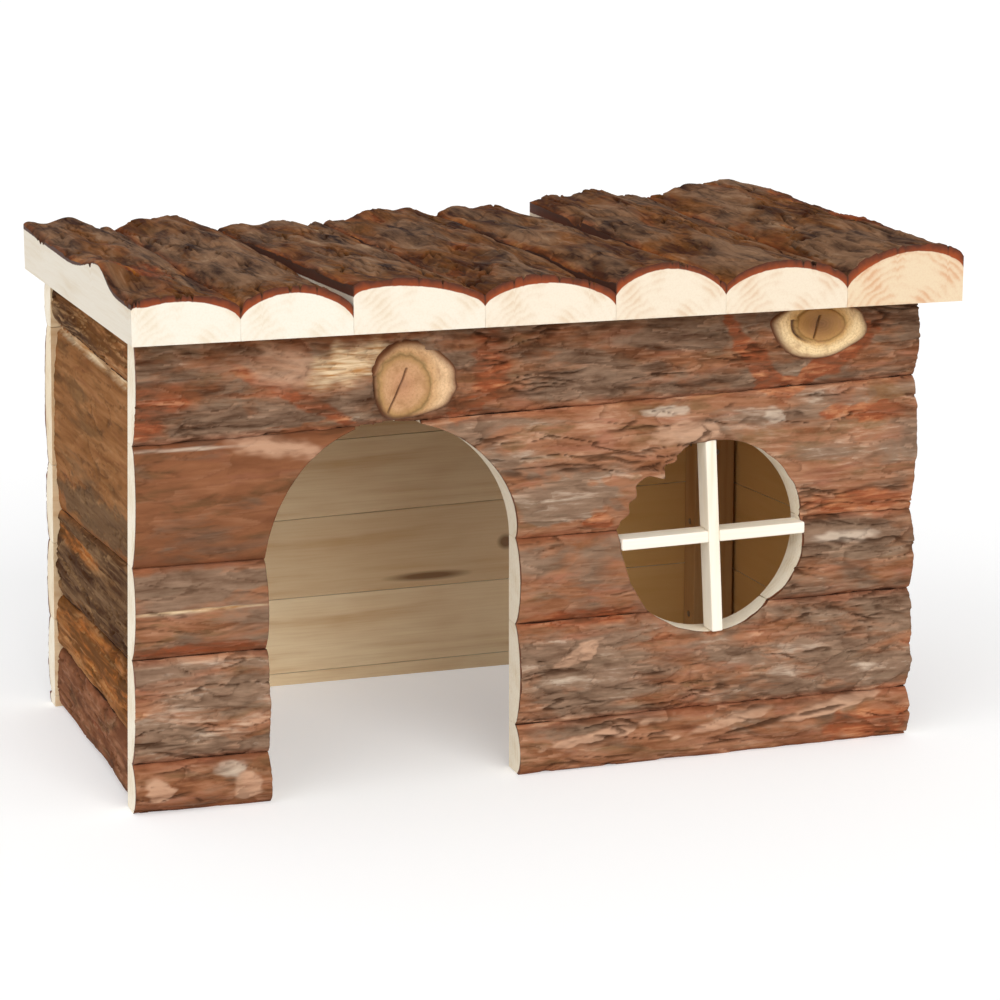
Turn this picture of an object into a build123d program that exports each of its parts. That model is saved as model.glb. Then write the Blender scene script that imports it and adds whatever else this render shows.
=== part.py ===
from build123d import *
from collections import namedtuple
from math import pi, sin
import os

# House for a hamster or a mouse: four walls of half-round bark slabs, glued edge to edge and pinned
# to corner posts, under a flat roof of the same slabs. The roof is pinned to two battens that drop
# between the corner posts, and lifts off. The front wall has an arched door and a round window, both
# sawn through the finished wall, so that they part the slabs they cross.
#
# Lengths are in millimetres. X runs along the front from left to right, Y from front to back and Z
# up. The origin lies on the ground under the middle of the roof.

# ---- walls
WALL_WIDTH = 272  # along the front, over the ends of the front and rear walls
WALL_DEPTH = 144  # front to back, over the bark
WALL_HEIGHT = 154
SLAB_THICKNESS = 12  # a wall slab at its crown, bark included
GROOVE_DEPTH = 4  # how far the edges of a wall slab lie below its crown
LEFT_GROOVE_DEPTH = 1.5  # the same on the left wall, which is nearly flat
ROUNDEST = 0.3  # but the bark of a narrow one rises above them by at most this share of its width
FOOT_THICKNESS = 10  # the front wall's lowest slab at its lower edge
SIDE_RECESS = 1  # the side walls stand this far inside the ends of the front wall
FRONT_LEAN = 4  # the left ends of the front and rear walls were sawn askew: each lies this much
REAR_LEAN = 3  # further right at the top, and the left wall gets as much thinner between them

# Widths of each wall's slabs from the top down, at its left and right end as seen from outside.
# They share out the wall's height in these proportions.
FRONT_SLABS = (35, 39, 30, 34, 16), (28, 46, 28, 35, 17)
REAR_SLABS = (15, 45, 28, 32, 28, 6), (17, 49, 28, 28, 28, 4)
LEFT_SLABS = (16, 66, 31, 19, 22), (19, 58, 32, 24, 21)
RIGHT_SLABS = (24, 35, 26, 37, 32), (22, 38, 29, 33, 32)

# ---- door and window, placed from the left end of the front wall
DOOR_FROM_LEFT = 87.3  # to the middle of the door
DOOR_WIDTH = 85
DOOR_HEIGHT = 122  # to the top of its round arch
WINDOW_FROM_LEFT = 198.3
WINDOW_BELOW_JOINT = 3.5  # from the joint under the second slab down to the window's middle
WINDOW_DIAMETER = 66
BAR_WIDTH = 3.9  # the two crossed bars in the window
BAR_DEPTH = 8
BAR_INSET = 0.5  # the bars' faces lie this far behind the crown of the bark
BAR_FIT = 0.05  # round the bars' ends
UPRIGHT_LEAN = 3  # degrees that the upright bar's top leans to the left
CROSSBAR_RISE = 1  # degrees that the crossbar rises to the right

# ---- corner posts and roof battens, both of planed lath
POST_WIDTH = 17  # along the front
POST_DEPTH = 10
BATTEN_WIDTH = 17
BATTEN_HEIGHT = 10
BATTEN_GAP = 0.5  # from a batten to the posts and the side walls, so that the roof lifts freely

# ---- roof
OVERHANG_LEFT = 0.7
OVERHANG_RIGHT = 7.3
OVERHANG_FRONT = 15.5
OVERHANG_REAR = 15.5

# Each roof slab from left to right: its section at the front and at the rear, as the width, then
# the heights of its left edge, crown and right edge. The widths share out the roof's width.
ROOF_SLABS = (
    ((34, 13.0, 15.5, 11.0), (32, 16.0, 17.0, 13.0)),
    ((36, 11.0, 16.5, 9.5), (38, 13.0, 17.0, 11.5)),
    ((43, 16.0, 16.5, 11.0), (40, 11.5, 13.0, 11.5)),
    ((44, 11.0, 15.5, 9.0), (43, 11.5, 16.5, 13.0)),
    ((38, 12.0, 18.0, 10.5), (37, 13.0, 16.0, 11.0)),
    ((43, 10.5, 16.5, 10.5), (46, 16.5, 20.0, 15.5)),
    ((42, 10.5, 19.5, 15.5), (44, 15.5, 21.5, 20.0)),
)

# The bark of the roof has furrows along the slabs, which wander and grow deeper and shallower. The
# bark of the walls is smoother.
FURROW_DEPTH = 2.4  # where they are deepest
FURROW_SWELL = 1.2  # how much shallower they get
FURROW_SWELL_RUN = 45  # from one deep place to the next
FURROW_PITCH = 17  # from furrow to furrow across a slab
FURROW_DRIFT = 5  # how far they wander to each side
FURROW_RUN = 76  # from one bend of a furrow to the next like it
FURROW_SHIFT = 24  # how much further on the next slab's furrows bend
FURROW_FADE = 5  # they fade out over this distance to a slab's long edges,
FURROW_START = 25  # and over this distance to its front end, which is a smooth arch
BARK_PITCH = 25  # along a slab, from one place where its bark is cracked across to the next
BARK_POINTS = 13  # across a slab, through which its bark is drawn

# ---- brads, driven from inside through post or batten, with their heads flush
BRAD_DIAMETER = 1.2
BRAD_HEAD_DIAMETER = 2.2
BRAD_HEAD_THICKNESS = 0.6
BRAD_BITE = 6  # how far a brad goes into the slab
BRAD_PITCH = 25  # a slab gets one brad for about each such stretch of its width, at each end
BRAD_LANE = 6  # brads of crossing walls keep to heights half a lane apart, so that they never meet
BRAD_FIT = 0.02  # round a brad in its hole

# ---- what follows from them
ROOF_WIDTH = OVERHANG_LEFT + WALL_WIDTH + OVERHANG_RIGHT
ROOF_DEPTH = OVERHANG_FRONT + WALL_DEPTH + OVERHANG_REAR
SIDE_LENGTH = WALL_DEPTH - 2 * SLAB_THICKNESS
INNER_X = WALL_WIDTH / 2 - SIDE_RECESS - SLAB_THICKNESS  # inner faces of the side walls
INNER_Y = SIDE_LENGTH / 2  # inner faces of the front and rear walls
POST_X = INNER_X - POST_WIDTH / 2
POST_Y = INNER_Y - POST_DEPTH / 2
BATTEN_Y = INNER_Y - POST_DEPTH - BATTEN_GAP - BATTEN_WIDTH / 2
BATTEN_LENGTH = 2 * (INNER_X - BATTEN_GAP)
DOOR_X = DOOR_FROM_LEFT - WALL_WIDTH / 2
WINDOW_X = WINDOW_FROM_LEFT - WALL_WIDTH / 2
WINDOW_JOINT = 2  # counted from the top of the wall, which is joint 0
BEYOND = 2 * SLAB_THICKNESS  # how far a cutting tool runs past a wall
FROM_FOOT = (Align.CENTER, Align.CENTER, Align.MIN)  # for a solid that stands on its own origin

# The middle of the walls, seen from the middle of the roof.
HOUSE = Pos((OVERHANG_LEFT - OVERHANG_RIGHT) / 2, (OVERHANG_FRONT - OVERHANG_REAR) / 2, 0)

# A wall is made with its inner face at y = 0 and its bark towards -Y, then turned into place. Its
# posts' middles lie at post_at from its middle, and its brads go through post_through of post. Its
# brads keep to whole lanes from the ground, or to half ones where lane is 0.5. At its top, a wall is
# shorter by lean and thinner by taper than at its foot, both at its left and at its right end.
Wall = namedtuple("Wall", "turn length inner post_at post_through lane slabs groove lean taper")
LONG = INNER_Y, POST_X, POST_DEPTH, 0  # what the two long walls share, and the two short ones
SHORT = INNER_X, POST_Y, POST_WIDTH, 0.5
WALLS = {
    "front": Wall(0, WALL_WIDTH, *LONG, FRONT_SLABS, GROOVE_DEPTH, (FRONT_LEAN, 0), (0, 0)),
    "rear": Wall(180, WALL_WIDTH, *LONG, REAR_SLABS, GROOVE_DEPTH, (0, REAR_LEAN), (0, 0)),
    "left": Wall(-90, SIDE_LENGTH, *SHORT, LEFT_SLABS, LEFT_GROOVE_DEPTH, (0, 0), (REAR_LEAN, FRONT_LEAN)),
    "right": Wall(90, SIDE_LENGTH, *SHORT, RIGHT_SLABS, GROOVE_DEPTH, (0, 0), (0, 0)),
}


def place(wall):
    """Where a wall's own frame lies in the house."""
    return HOUSE * Rot(0, 0, wall.turn) * Pos(0, -wall.inner, 0)


def shared(widths, total):
    """Edges of strips with these relative widths, laid side by side over a total width."""
    edges = [0]
    for width in widths:
        edges.append(edges[-1] + width)
    return [edge * total / edges[-1] for edge in edges]


# One end of a slab: its outline stands on the plane's x axis, where the slab was sawn flat, and the
# bark arches over it.
End = namedtuple("End", "plane width first_edge crown second_edge")


def half_round_slab(*ends):
    """A slab between two ends. All its faces are flat but the bark."""
    outlines, barks = [], []
    for end in ends:
        places = (0, 0), (end.width, 0), (end.width, end.second_edge), (0, end.first_edge)
        corners = [end.plane.from_local_coords(Vector(*place)) for place in places]
        crown = end.plane.from_local_coords(Vector(end.width / 2, end.crown))
        outlines.append(corners)
        barks.append(ThreePointArc(corners[2], crown, corners[3]))
    faces = [Face.make_surface_from_curves(barks[0].edge(), barks[1].edge())]
    for (first, second, third, fourth), bark in zip(outlines, barks):
        faces.append(make_face([*Polyline(fourth, first, second, third).edges(), bark]).face())
    for side in ((0, 1), (1, 2), (3, 0)):
        near, far = [[outline[corner] for corner in side] for outline in outlines]
        faces.append(make_face(Polyline(*near, *reversed(far), close=True)).face())
    return Solid(Shell(faces))


# ---- wall slabs


def joint_heights(widths):
    """Heights of the joints between a wall's slabs at one end, from its top down to the ground."""
    return [WALL_HEIGHT - edge for edge in shared(widths, WALL_HEIGHT)]


def joint_height(wall, number, x):
    """Height of one joint at a place along the wall."""
    left, right = [joint_heights(widths)[number] for widths in wall.slabs]
    return left + (right - left) * (x / wall.length + 0.5)


def wall_slab(wall, number):
    """One slab over the wall's whole length, in the wall's own frame."""
    lowest = wall is WALLS["front"] and number == len(FRONT_SLABS[0]) - 1
    ends = []
    for side, widths, lean, taper in zip((-1, 1), wall.slabs, wall.lean, wall.taper):
        foot, top = [
            Vector(side * (wall.length / 2 - lean * height / WALL_HEIGHT), 0, height)
            for height in reversed(joint_heights(widths)[number : number + 2])
        ]
        edges = [SLAB_THICKNESS - wall.groove - taper * end.Z / WALL_HEIGHT for end in (foot, top)]
        crown = sum(edges) / 2 + min(wall.groove, ROUNDEST * (top.Z - foot.Z))
        if lowest:
            edges[0] = FOOT_THICKNESS
        up = top - foot
        plane = Plane(foot, x_dir=up, z_dir=Vector(0, 1, 0).cross(up))
        ends.append(End(plane, up.length, edges[0], crown, edges[1]))
    return half_round_slab(*ends)


def brad(lath, fit):
    """A brad with its head flush at z = 0, through a lath and into a slab along +Z."""
    shank = Cylinder(BRAD_DIAMETER / 2 + fit, lath + BRAD_BITE + fit, align=FROM_FOOT)
    head = Cylinder(BRAD_HEAD_DIAMETER / 2 + fit, BRAD_HEAD_THICKNESS + fit, align=FROM_FOOT)
    return shank + head


def brad_heights(wall, widths):
    """Heights of the brads along one post of a wall, moved to the wall's nearest lanes."""
    joints = joint_heights(widths)
    for top, foot in zip(joints, joints[1:]):
        count = round((top - foot) / BRAD_PITCH)
        for step in range(count):
            height = foot + (top - foot) * (step + 0.5) / count
            yield BRAD_LANE * (round(height / BRAD_LANE - wall.lane) + wall.lane)


def wall_brads(wall, fit=0):
    """The brads along both posts of a wall, in the wall's own frame."""
    brads = []
    for side, widths in zip((-1, 1), wall.slabs):
        for height in brad_heights(wall, widths):
            seat = Pos(side * wall.post_at, wall.post_through, height) * Rot(90, 0, 0)
            brads.append(seat * brad(wall.post_through, fit))
    return brads


# ---- front wall


def door_cut():
    """The sawn door: straight jambs under a half-round arch, open at the foot."""
    radius = DOOR_WIDTH / 2
    spring = DOOR_HEIGHT - radius
    jambs = Pos(DOOR_X, 0, spring / 2) * Box(DOOR_WIDTH, 2 * BEYOND, spring)
    arch = Pos(DOOR_X, 0, spring) * Rot(90, 0, 0) * Cylinder(radius, 2 * BEYOND)
    return jambs + arch


def window_height():
    """From the foot of the wall to the window's middle."""
    return joint_height(WALLS["front"], WINDOW_JOINT, WINDOW_X) - WINDOW_BELOW_JOINT


def window_cut(fit=0):
    """The sawn window, a round hole."""
    hole = Cylinder(WINDOW_DIAMETER / 2 - fit, 2 * BEYOND)
    return Pos(WINDOW_X, 0, window_height()) * Rot(90, 0, 0) * hole


def front_piece(number, start, end):
    """The stretch of a front slab between two places along the wall, with the openings sawn out."""
    stretch = Pos((start + end) / 2, 0, 0) * Box(end - start, 2 * BEYOND, 3 * WALL_HEIGHT)
    return (wall_slab(WALLS["front"], number) & stretch) - door_cut() - window_cut()


def front_wall():
    """The front slabs by name. Those that the door or the window crosses are in two or three."""
    left, right = -WALL_WIDTH / 2 - BEYOND, WALL_WIDTH / 2 + BEYOND
    pieces = {
        "front_slab_1": (0, left, right),
        "front_slab_2_left": (1, left, DOOR_X),
        "front_slab_2_right": (1, DOOR_X, right),
        "front_slab_3_left": (2, left, DOOR_X),
        "front_slab_3_middle": (2, DOOR_X, WINDOW_X),
        "front_slab_3_right": (2, WINDOW_X, right),
        "front_slab_4_left": (3, left, DOOR_X),
        "front_slab_4_right": (3, DOOR_X, right),
        "front_slab_5_left": (4, left, DOOR_X),
        "front_slab_5_right": (4, DOOR_X, right),
    }
    return {name: front_piece(*stretch) for name, stretch in pieces.items()}


def window_bars():
    """The crossed bars, halved into each other where they cross and glued into the window."""
    depth_at = BAR_INSET - SLAB_THICKNESS + BAR_DEPTH / 2
    middle = Pos(WINDOW_X, depth_at, window_height())
    lath = Box(BAR_WIDTH, BAR_DEPTH, WINDOW_DIAMETER)
    upright = middle * Rot(0, -UPRIGHT_LEAN, 0) * lath & window_cut(BAR_FIT)
    crossbar = middle * Rot(0, 90 - CROSSBAR_RISE, 0) * lath & window_cut(BAR_FIT)
    half = Box(WINDOW_DIAMETER, BAR_DEPTH / 2, WINDOW_DIAMETER)
    front_half = middle * Pos(0, -BAR_DEPTH / 4, 0) * half
    rear_half = middle * Pos(0, BAR_DEPTH / 4, 0) * half
    return {
        "window_upright": upright - (crossbar & rear_half),
        "window_crossbar": crossbar - (upright & front_half),
    }


# ---- roof


def roof_edges():
    """The joints between the roof slabs along its front and its rear edge."""
    for end in (0, 1):
        widths = [slab[end][0] for slab in ROOF_SLABS]
        yield [edge - ROOF_WIDTH / 2 for edge in shared(widths, ROOF_WIDTH)]


def furrow(number, across, along, width):
    """How far the bark of a roof slab lies under its smooth arch at one place."""
    shifted = along + FURROW_SHIFT * number
    drift = FURROW_DRIFT * sin(2 * pi * shifted / FURROW_RUN)
    crest = (1 + sin(2 * pi * (across + drift) / FURROW_PITCH)) / 2
    swell = (1 + sin(2 * pi * shifted / FURROW_SWELL_RUN)) / 2
    fade = min(1, across / FURROW_FADE, (width - across) / FURROW_FADE, along / FURROW_START)
    return (FURROW_DEPTH - FURROW_SWELL * swell) * (1 - crest) * fade


def furrowed_section(number, end, along):
    """The outline of a roof slab, with the furrows that it has at this place along it."""
    first, second = end.first_edge, end.second_edge
    rise = end.crown - (first + second) / 2
    points = []
    for step in range(BARK_POINTS):
        share = step / (BARK_POINTS - 1)
        smooth = first + (second - first) * share + 4 * rise * share * (1 - share)
        across = end.width * share
        points.append((across, smooth - furrow(number, across, along, end.width)))
    sawn = Polyline(points[-1], (end.width, 0), (0, 0), points[0])
    return end.plane * Wire([*sawn.edges(), Spline(*points).edge()])


def roof_slab(number):
    """One roof slab, from the front edge of the roof to the rear."""
    front, rear = ROOF_SLABS[number]
    bays = round(ROOF_DEPTH / BARK_PITCH)
    sections = []
    for step in range(bays + 1):
        back = step / bays
        start, end = [f + (r - f) * back for f, r in list(zip(*roof_edges()))[number : number + 2]]
        heights = [f + (r - f) * back for f, r in zip(front[1:], rear[1:])]
        along = ROOF_DEPTH * back
        plane = Plane((start, along - ROOF_DEPTH / 2, WALL_HEIGHT), x_dir=(1, 0, 0), z_dir=(0, -1, 0))
        sections.append(furrowed_section(number, End(plane, end - start, *heights), along))
    return Solid.make_loft(sections, ruled=True).clean()


def roof_brads(fit=0):
    """Two brads through each batten into each slab, up from below."""
    brads = []
    front, rear = roof_edges()
    reach = BATTEN_LENGTH / 2
    for y in (-BATTEN_Y, BATTEN_Y):
        along = 0.5 + (HOUSE.position.Y + y) / ROOF_DEPTH
        joints = [f + (r - f) * along - HOUSE.position.X for f, r in zip(front, rear)]
        for start, end in zip(joints, joints[1:]):
            start, end = max(start, -reach), min(end, reach)
            for part_way in (0.25, 0.75):
                x = start + (end - start) * part_way
                seat = HOUSE * Pos(x, y, WALL_HEIGHT - BATTEN_HEIGHT)
                brads.append(seat * brad(BATTEN_HEIGHT, fit))
    return brads


# ---- the house, piece by piece

parts = {}

# Walls: each slab is drilled for its own wall's brads.
for wall_name, wall in WALLS.items():
    if wall_name == "front":
        slabs = front_wall()
    else:
        count = len(wall.slabs[0])
        slabs = {f"{wall_name}_slab_{n + 1}": wall_slab(wall, n) for n in range(count)}
    holes = wall_brads(wall, BRAD_FIT)
    for name, slab in slabs.items():
        parts[name] = place(wall) * (slab - holes)
    parts[f"{wall_name}_brads"] = place(wall) * Compound(children=wall_brads(wall))

for name, bar in window_bars().items():
    parts[name] = place(WALLS["front"]) * bar

# Corner posts, drilled for the brads of both walls that they join.
for end_name, y in (("front", -POST_Y), ("rear", POST_Y)):
    for side_name, x in (("left", -POST_X), ("right", POST_X)):
        post = HOUSE * Pos(x, y, 0) * Box(POST_WIDTH, POST_DEPTH, WALL_HEIGHT, align=FROM_FOOT)
        for wall in (WALLS[end_name], WALLS[side_name]):
            post -= [place(wall) * hole for hole in wall_brads(wall, BRAD_FIT)]
        parts[f"post_{end_name}_{side_name}"] = post

# Roof: slabs on two battens.
holes = roof_brads(BRAD_FIT)
for n in range(len(ROOF_SLABS)):
    parts[f"roof_slab_{n + 1}"] = roof_slab(n) - holes
for name, y in (("roof_batten_front", -BATTEN_Y), ("roof_batten_rear", BATTEN_Y)):
    lath = Box(BATTEN_LENGTH, BATTEN_WIDTH, BATTEN_HEIGHT, align=FROM_FOOT)
    parts[name] = HOUSE * Pos(0, y, WALL_HEIGHT - BATTEN_HEIGHT) * lath - holes
parts["roof_brads"] = Compound(children=roof_brads())

os.makedirs("parts", exist_ok=True)
for name, part in parts.items():
    export_step(part, f"parts/{name}.step")
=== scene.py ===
"""A hamster house of half-round bark slabs: the looks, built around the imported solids.

Every slab is the outer half of a split log: rough bark outside, sawn pine where it is cut. Lengths are in
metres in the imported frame, and in millimetres where a name ends in _mm or a node reads bark_map or pith.
"""

import math
from collections import namedtuple

import bmesh
import bpy
import numpy as np
from bpy.props import FloatProperty, FloatVectorProperty, IntProperty, PointerProperty
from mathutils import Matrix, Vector
from mathutils.bvhtree import BVHTree
from mathutils.geometry import delaunay_2d_cdt


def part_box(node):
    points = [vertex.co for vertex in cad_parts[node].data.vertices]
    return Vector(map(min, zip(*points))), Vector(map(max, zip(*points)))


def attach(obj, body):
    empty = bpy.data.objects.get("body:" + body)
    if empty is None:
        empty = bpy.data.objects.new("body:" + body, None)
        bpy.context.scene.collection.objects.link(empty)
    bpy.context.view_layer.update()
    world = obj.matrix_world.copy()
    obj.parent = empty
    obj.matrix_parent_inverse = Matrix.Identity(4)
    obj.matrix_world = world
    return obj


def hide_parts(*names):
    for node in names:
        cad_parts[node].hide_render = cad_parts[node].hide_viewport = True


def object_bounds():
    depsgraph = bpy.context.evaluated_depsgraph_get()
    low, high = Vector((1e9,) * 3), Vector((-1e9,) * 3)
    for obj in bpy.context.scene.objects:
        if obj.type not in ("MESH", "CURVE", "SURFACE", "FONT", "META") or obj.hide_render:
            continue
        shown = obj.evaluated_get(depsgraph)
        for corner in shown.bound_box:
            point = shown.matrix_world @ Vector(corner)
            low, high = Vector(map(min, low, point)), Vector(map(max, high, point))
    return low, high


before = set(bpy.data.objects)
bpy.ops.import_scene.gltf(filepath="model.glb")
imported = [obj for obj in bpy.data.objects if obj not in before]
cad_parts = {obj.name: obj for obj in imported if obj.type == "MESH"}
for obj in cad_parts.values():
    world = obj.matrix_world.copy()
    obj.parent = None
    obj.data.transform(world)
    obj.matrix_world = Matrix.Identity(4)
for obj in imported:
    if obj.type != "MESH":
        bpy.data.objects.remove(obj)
CAD_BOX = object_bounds()

bl_info = {
    "name": "Bark-slab hamster house",
    "version": (1, 0, 0),
    "blender": (4, 5, 0),
    "location": "3D View > Sidebar > Hamster House",
    "description": "Dresses the packed hamster house in bark, sawn pine, planed laths and brads",
    "category": "Object",
}

MM = 0.001
# Where the sRGB standard's curve is straight, how steep it is there, and its offset and power beyond.
DARK_END, DARK_SLOPE, OFFSET, POWER = 0.04045, 12.92, 0.055, 2.4


def colour(code):
    """An sRGB hex colour, such as #8f5e45, as linear red, green, blue and 1. A colour that a user picked in
    the panel is linear already."""
    if not isinstance(code, str):
        return [*code][:3] + [1.0]
    linear = []
    for share in (int(code[i : i + 2], 16) / 255 for i in (1, 3, 5)):
        dark = share <= DARK_END
        linear.append(share / DARK_SLOPE if dark else ((share + OFFSET) / (1 + OFFSET)) ** POWER)
    return linear + [1.0]


# ---- What a user may change ----


def size_prop(name, millimetres, description):
    """A length property, given in millimetres."""
    return FloatProperty(name=name, description=description, default=millimetres * MM, min=0, unit="LENGTH")


def colour_prop(name, code, description):
    """A colour property, given as sRGB hex."""
    return FloatVectorProperty(
        name=name, description=description, default=colour(code)[:3], size=3, min=0, max=1, subtype="COLOR"
    )


class HouseSizes(bpy.types.PropertyGroup):
    """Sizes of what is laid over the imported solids."""

    wall_bark: size_prop("Wall Bark", 0.8, "How thick the bark shows at a wall slab's cut edges")
    roof_bark: size_prop("Roof Bark", 2.4, "How thick the inner bark shows at a roof slab's sawn ends")
    front_cell: size_prop("Front Cell", 0.45, "Size of the mesh's cells on the front wall's bark")
    side_cell: size_prop("Side Cell", 0.6, "Size of the mesh's cells on the left wall's bark")
    hidden_cell: size_prop("Far Cell", 0.7, "Size of the mesh's cells on the rear and right walls' bark")
    roof_cell: size_prop("Roof Cell", 0.5, "Size of the mesh's cells on the roof's bark")
    ragged: size_prop("Ragged Rim", 4.0, "How far flakes of bark reach into the window at its upper left")
    broken_edge: size_prop("Lath Edge", 0.45, "How wide the laths' broken edges are")
    seed: IntProperty(name="Bark Seed", description="Which of the many possible barks grows", default=0)


class HouseColours(bpy.types.PropertyGroup):
    """Colours of the sawn wood, the brads and the floor."""

    wall_edge: colour_prop("Wall Edges", "#faf0dc", "Fresh pine where the wall slabs are sawn")
    roof_edge: colour_prop("Roof Ends", "#ebe2d2", "Fresh pine at the roof slabs' ends")
    inner_bark: colour_prop("Inner Bark", "#974216", "The red layer under the roof slabs' bark")
    inside: colour_prop("Inside", "#f2dbb4", "The slabs' sawn inner faces")
    window_bars: colour_prop("Window Bars", "#f7efe0", "The planed laths in the window")
    posts: colour_prop("Posts", "#dcb988", "The corner posts and roof battens")
    brads: colour_prop("Brads", "#b9b8b4", "The steel of the brads")
    floor: colour_prop("Floor", "#e6e6e6", "The studio floor")


# ---- The solids that the looks follow ----


def vertices_of(node):
    """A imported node's vertices, in metres."""
    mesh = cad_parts[node].data
    found = np.empty(len(mesh.vertices) * 3, np.float32)
    mesh.vertices.foreach_get("co", found)
    return found.reshape(-1, 3).astype(float)


def inner_plane(node, out):
    """How far out a slab's inner face lies."""
    return float((vertices_of(node) @ np.array(out, float)).min())


class Side:
    """One flat side of the house: the way its slabs run, the way they are stacked, and the way out."""

    def __init__(self, name, along, across, out):
        self.name = name
        self.along = np.array(along, float)
        self.across = np.array(across, float)
        self.out = np.array(out, float)
        self.inside = inner_plane(name + "_slab_1", out)
        slabs = [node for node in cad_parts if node.startswith(name + "_slab_")]
        self.begin = min(float((vertices_of(node) @ self.along).min()) for node in slabs)
        self.turned = np.dot(np.cross(self.along, self.across), self.out) < 0

    def flat(self, places):
        """Places as (along, across, out from the inner face)."""
        return np.stack([places @ self.along, places @ self.across, places @ self.out - self.inside], -1)

    def place(self, along, across, out):
        """The opposite of flat."""
        return (
            np.multiply.outer(along, self.along)
            + np.multiply.outer(across, self.across)
            + np.multiply.outer(out + self.inside, self.out)
        )


FRONT = Side("front", (1, 0, 0), (0, 0, 1), (0, -1, 0))
REAR = Side("rear", (-1, 0, 0), (0, 0, 1), (0, 1, 0))
LEFT = Side("left", (0, -1, 0), (0, 0, 1), (-1, 0, 0))
RIGHT = Side("right", (0, 1, 0), (0, 0, 1), (1, 0, 0))
ROOF = Side("roof", (0, 1, 0), (1, 0, 0), (0, 0, 1))


FEEL_INSET = 0.02 * MM  # so that a ray at a slab's very edge still meets it
FEEL_FROM = 1.0  # how far above a roof slab's inner face such a ray starts
MOST_LEAN = 5 * MM  # a slab's sawn end leans by less than this
CLOSE = 0.05 * MM  # corners of a solid that are this near a line lie on it


def arched(share, first, crown, last):
    """A smooth curve from an edge over the crown, at half way, to the other edge."""
    bend = crown - (first + last) / 2
    return first + (last - first) * share + 4 * bend * share * (1 - share)


class Log:
    """A whole slab from end to end, read from its solids: where its edges lie at both ends, and how high
    its bark stands over the inner face at the one edge, the crown and the other edge. A roof slab's bark
    isn't a plain arch, so there each height is felt for from outside."""

    def __init__(self, side, nodes):
        self.side, self.felt = side, None
        if side is ROOF:
            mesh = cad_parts[nodes[0]].data
            corners, sides = [v.co for v in mesh.vertices], [p.vertices for p in mesh.polygons]
            self.felt = BVHTree.FromPolygons(corners, sides)
        places = np.concatenate([side.flat(vertices_of(n)) for n in nodes])
        self.start, self.stop = places[:, 0].min(), places[:, 0].max()
        self.ends, self.edges, self.heights = [], [], []
        for stop in (self.start, self.stop):
            end = places[abs(places[:, 0] - stop) < MOST_LEAN]
            low, high = end[end[:, 1].argmin()], end[end[:, 1].argmax()]
            sawn = low[0] + (high[0] - low[0]) * (end[:, 1] - low[1]) / (high[1] - low[1])
            end = end[abs(end[:, 0] - sawn) < CLOSE]
            at_edge = [end[abs(end[:, 1] - edge[1]) < CLOSE][:, 2].max() for edge in (low, high)]
            self.ends.append((low[0], high[0]))
            self.edges.append((low[1], high[1]))
            self.heights.append((at_edge[0], end[:, 2].max(), at_edge[1]))
        self.middle = np.mean(self.edges)
        self.width = np.mean([high - low for low, high in self.edges])

    def reach(self, share):
        """Where the slab starts and stops, at a share of its width. Its ends may lean."""
        return [low * (1 - share) + high * share for low, high in self.ends]

    def bark(self, along, share):
        """Across, and the height of the smooth bark, at a share of the width."""
        start, stop = self.reach(share)
        t = (along - start) / (stop - start)
        low, high = (a * (1 - t) + b * t for a, b in zip(*self.edges))
        height = arched(share, *self.heights[0]) * (1 - t) + arched(share, *self.heights[1]) * t
        if self.felt:
            inset = np.clip(along, self.start + FEEL_INSET, self.stop - FEEL_INSET)
            across = np.clip(low + (high - low) * share, low + FEEL_INSET, high - FEEL_INSET)
            from_above = self.side.place(inset.ravel(), across.ravel(), np.full(inset.size, FEEL_FROM))
            down = Vector(-self.side.out)
            found = [self.felt.ray_cast(Vector(place), down)[3] for place in from_above]
            height = FEEL_FROM - np.array(found).reshape(inset.shape)
        return low + (high - low) * share, height


# ---- The openings in the front wall, as distances from their edges: positive in the wood ----

DOOR_LEFT, DOOR_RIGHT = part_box("front_slab_5_left")[1].x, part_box("front_slab_5_right")[0].x
DOOR_MIDDLE, DOOR_RADIUS = (DOOR_LEFT + DOOR_RIGHT) / 2, (DOOR_RIGHT - DOOR_LEFT) / 2


def door_top():
    """The arch's highest point, where it bites into the lower edge of the top slab."""
    flat = FRONT.flat(vertices_of("front_slab_1"))
    bite = (abs(flat[:, 0] - DOOR_MIDDLE) < 4 * MM) & (flat[:, 2] < 0.1 * MM)
    return flat[bite][:, 1].min()


ARCH_HEIGHT = door_top() - DOOR_RADIUS
BAR_PLAY = 0.05 * MM  # the window's bars stand this clear of its edge
UPRIGHT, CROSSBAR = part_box("window_upright"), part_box("window_crossbar")
WINDOW_X, WINDOW_Z = (CROSSBAR[0].x + CROSSBAR[1].x) / 2, (UPRIGHT[0].z + UPRIGHT[1].z) / 2
WINDOW_RADIUS = (CROSSBAR[1].x - CROSSBAR[0].x) / 2 + BAR_PLAY


def from_door(x, z):
    """Distance from the door's edge."""
    beside = abs(x - DOOR_MIDDLE)
    return np.where(z < ARCH_HEIGHT, beside, np.hypot(beside, z - ARCH_HEIGHT)) - DOOR_RADIUS


def from_window(x, z):
    """Distance from the window's edge."""
    return np.hypot(x - WINDOW_X, z - WINDOW_Z) - WINDOW_RADIUS


def from_openings(x, z):
    """Distance from the nearer opening's edge."""
    return np.minimum(from_door(x, z), from_window(x, z))


NUDGE = 0.01 * MM  # too little to see, as between two readings that give a slope


def onto_edge(x, z):
    """Points moved along the shortest way onto the nearer opening's edge. Two steps are near enough."""
    for _ in range(2):
        gap = from_openings(x, z)
        slope_x = (from_openings(x + NUDGE, z) - gap) / NUDGE
        slope_z = (from_openings(x, z + NUDGE) - gap) / NUDGE
        x, z = x - gap * slope_x, z - gap * slope_z
    return x, z


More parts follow.
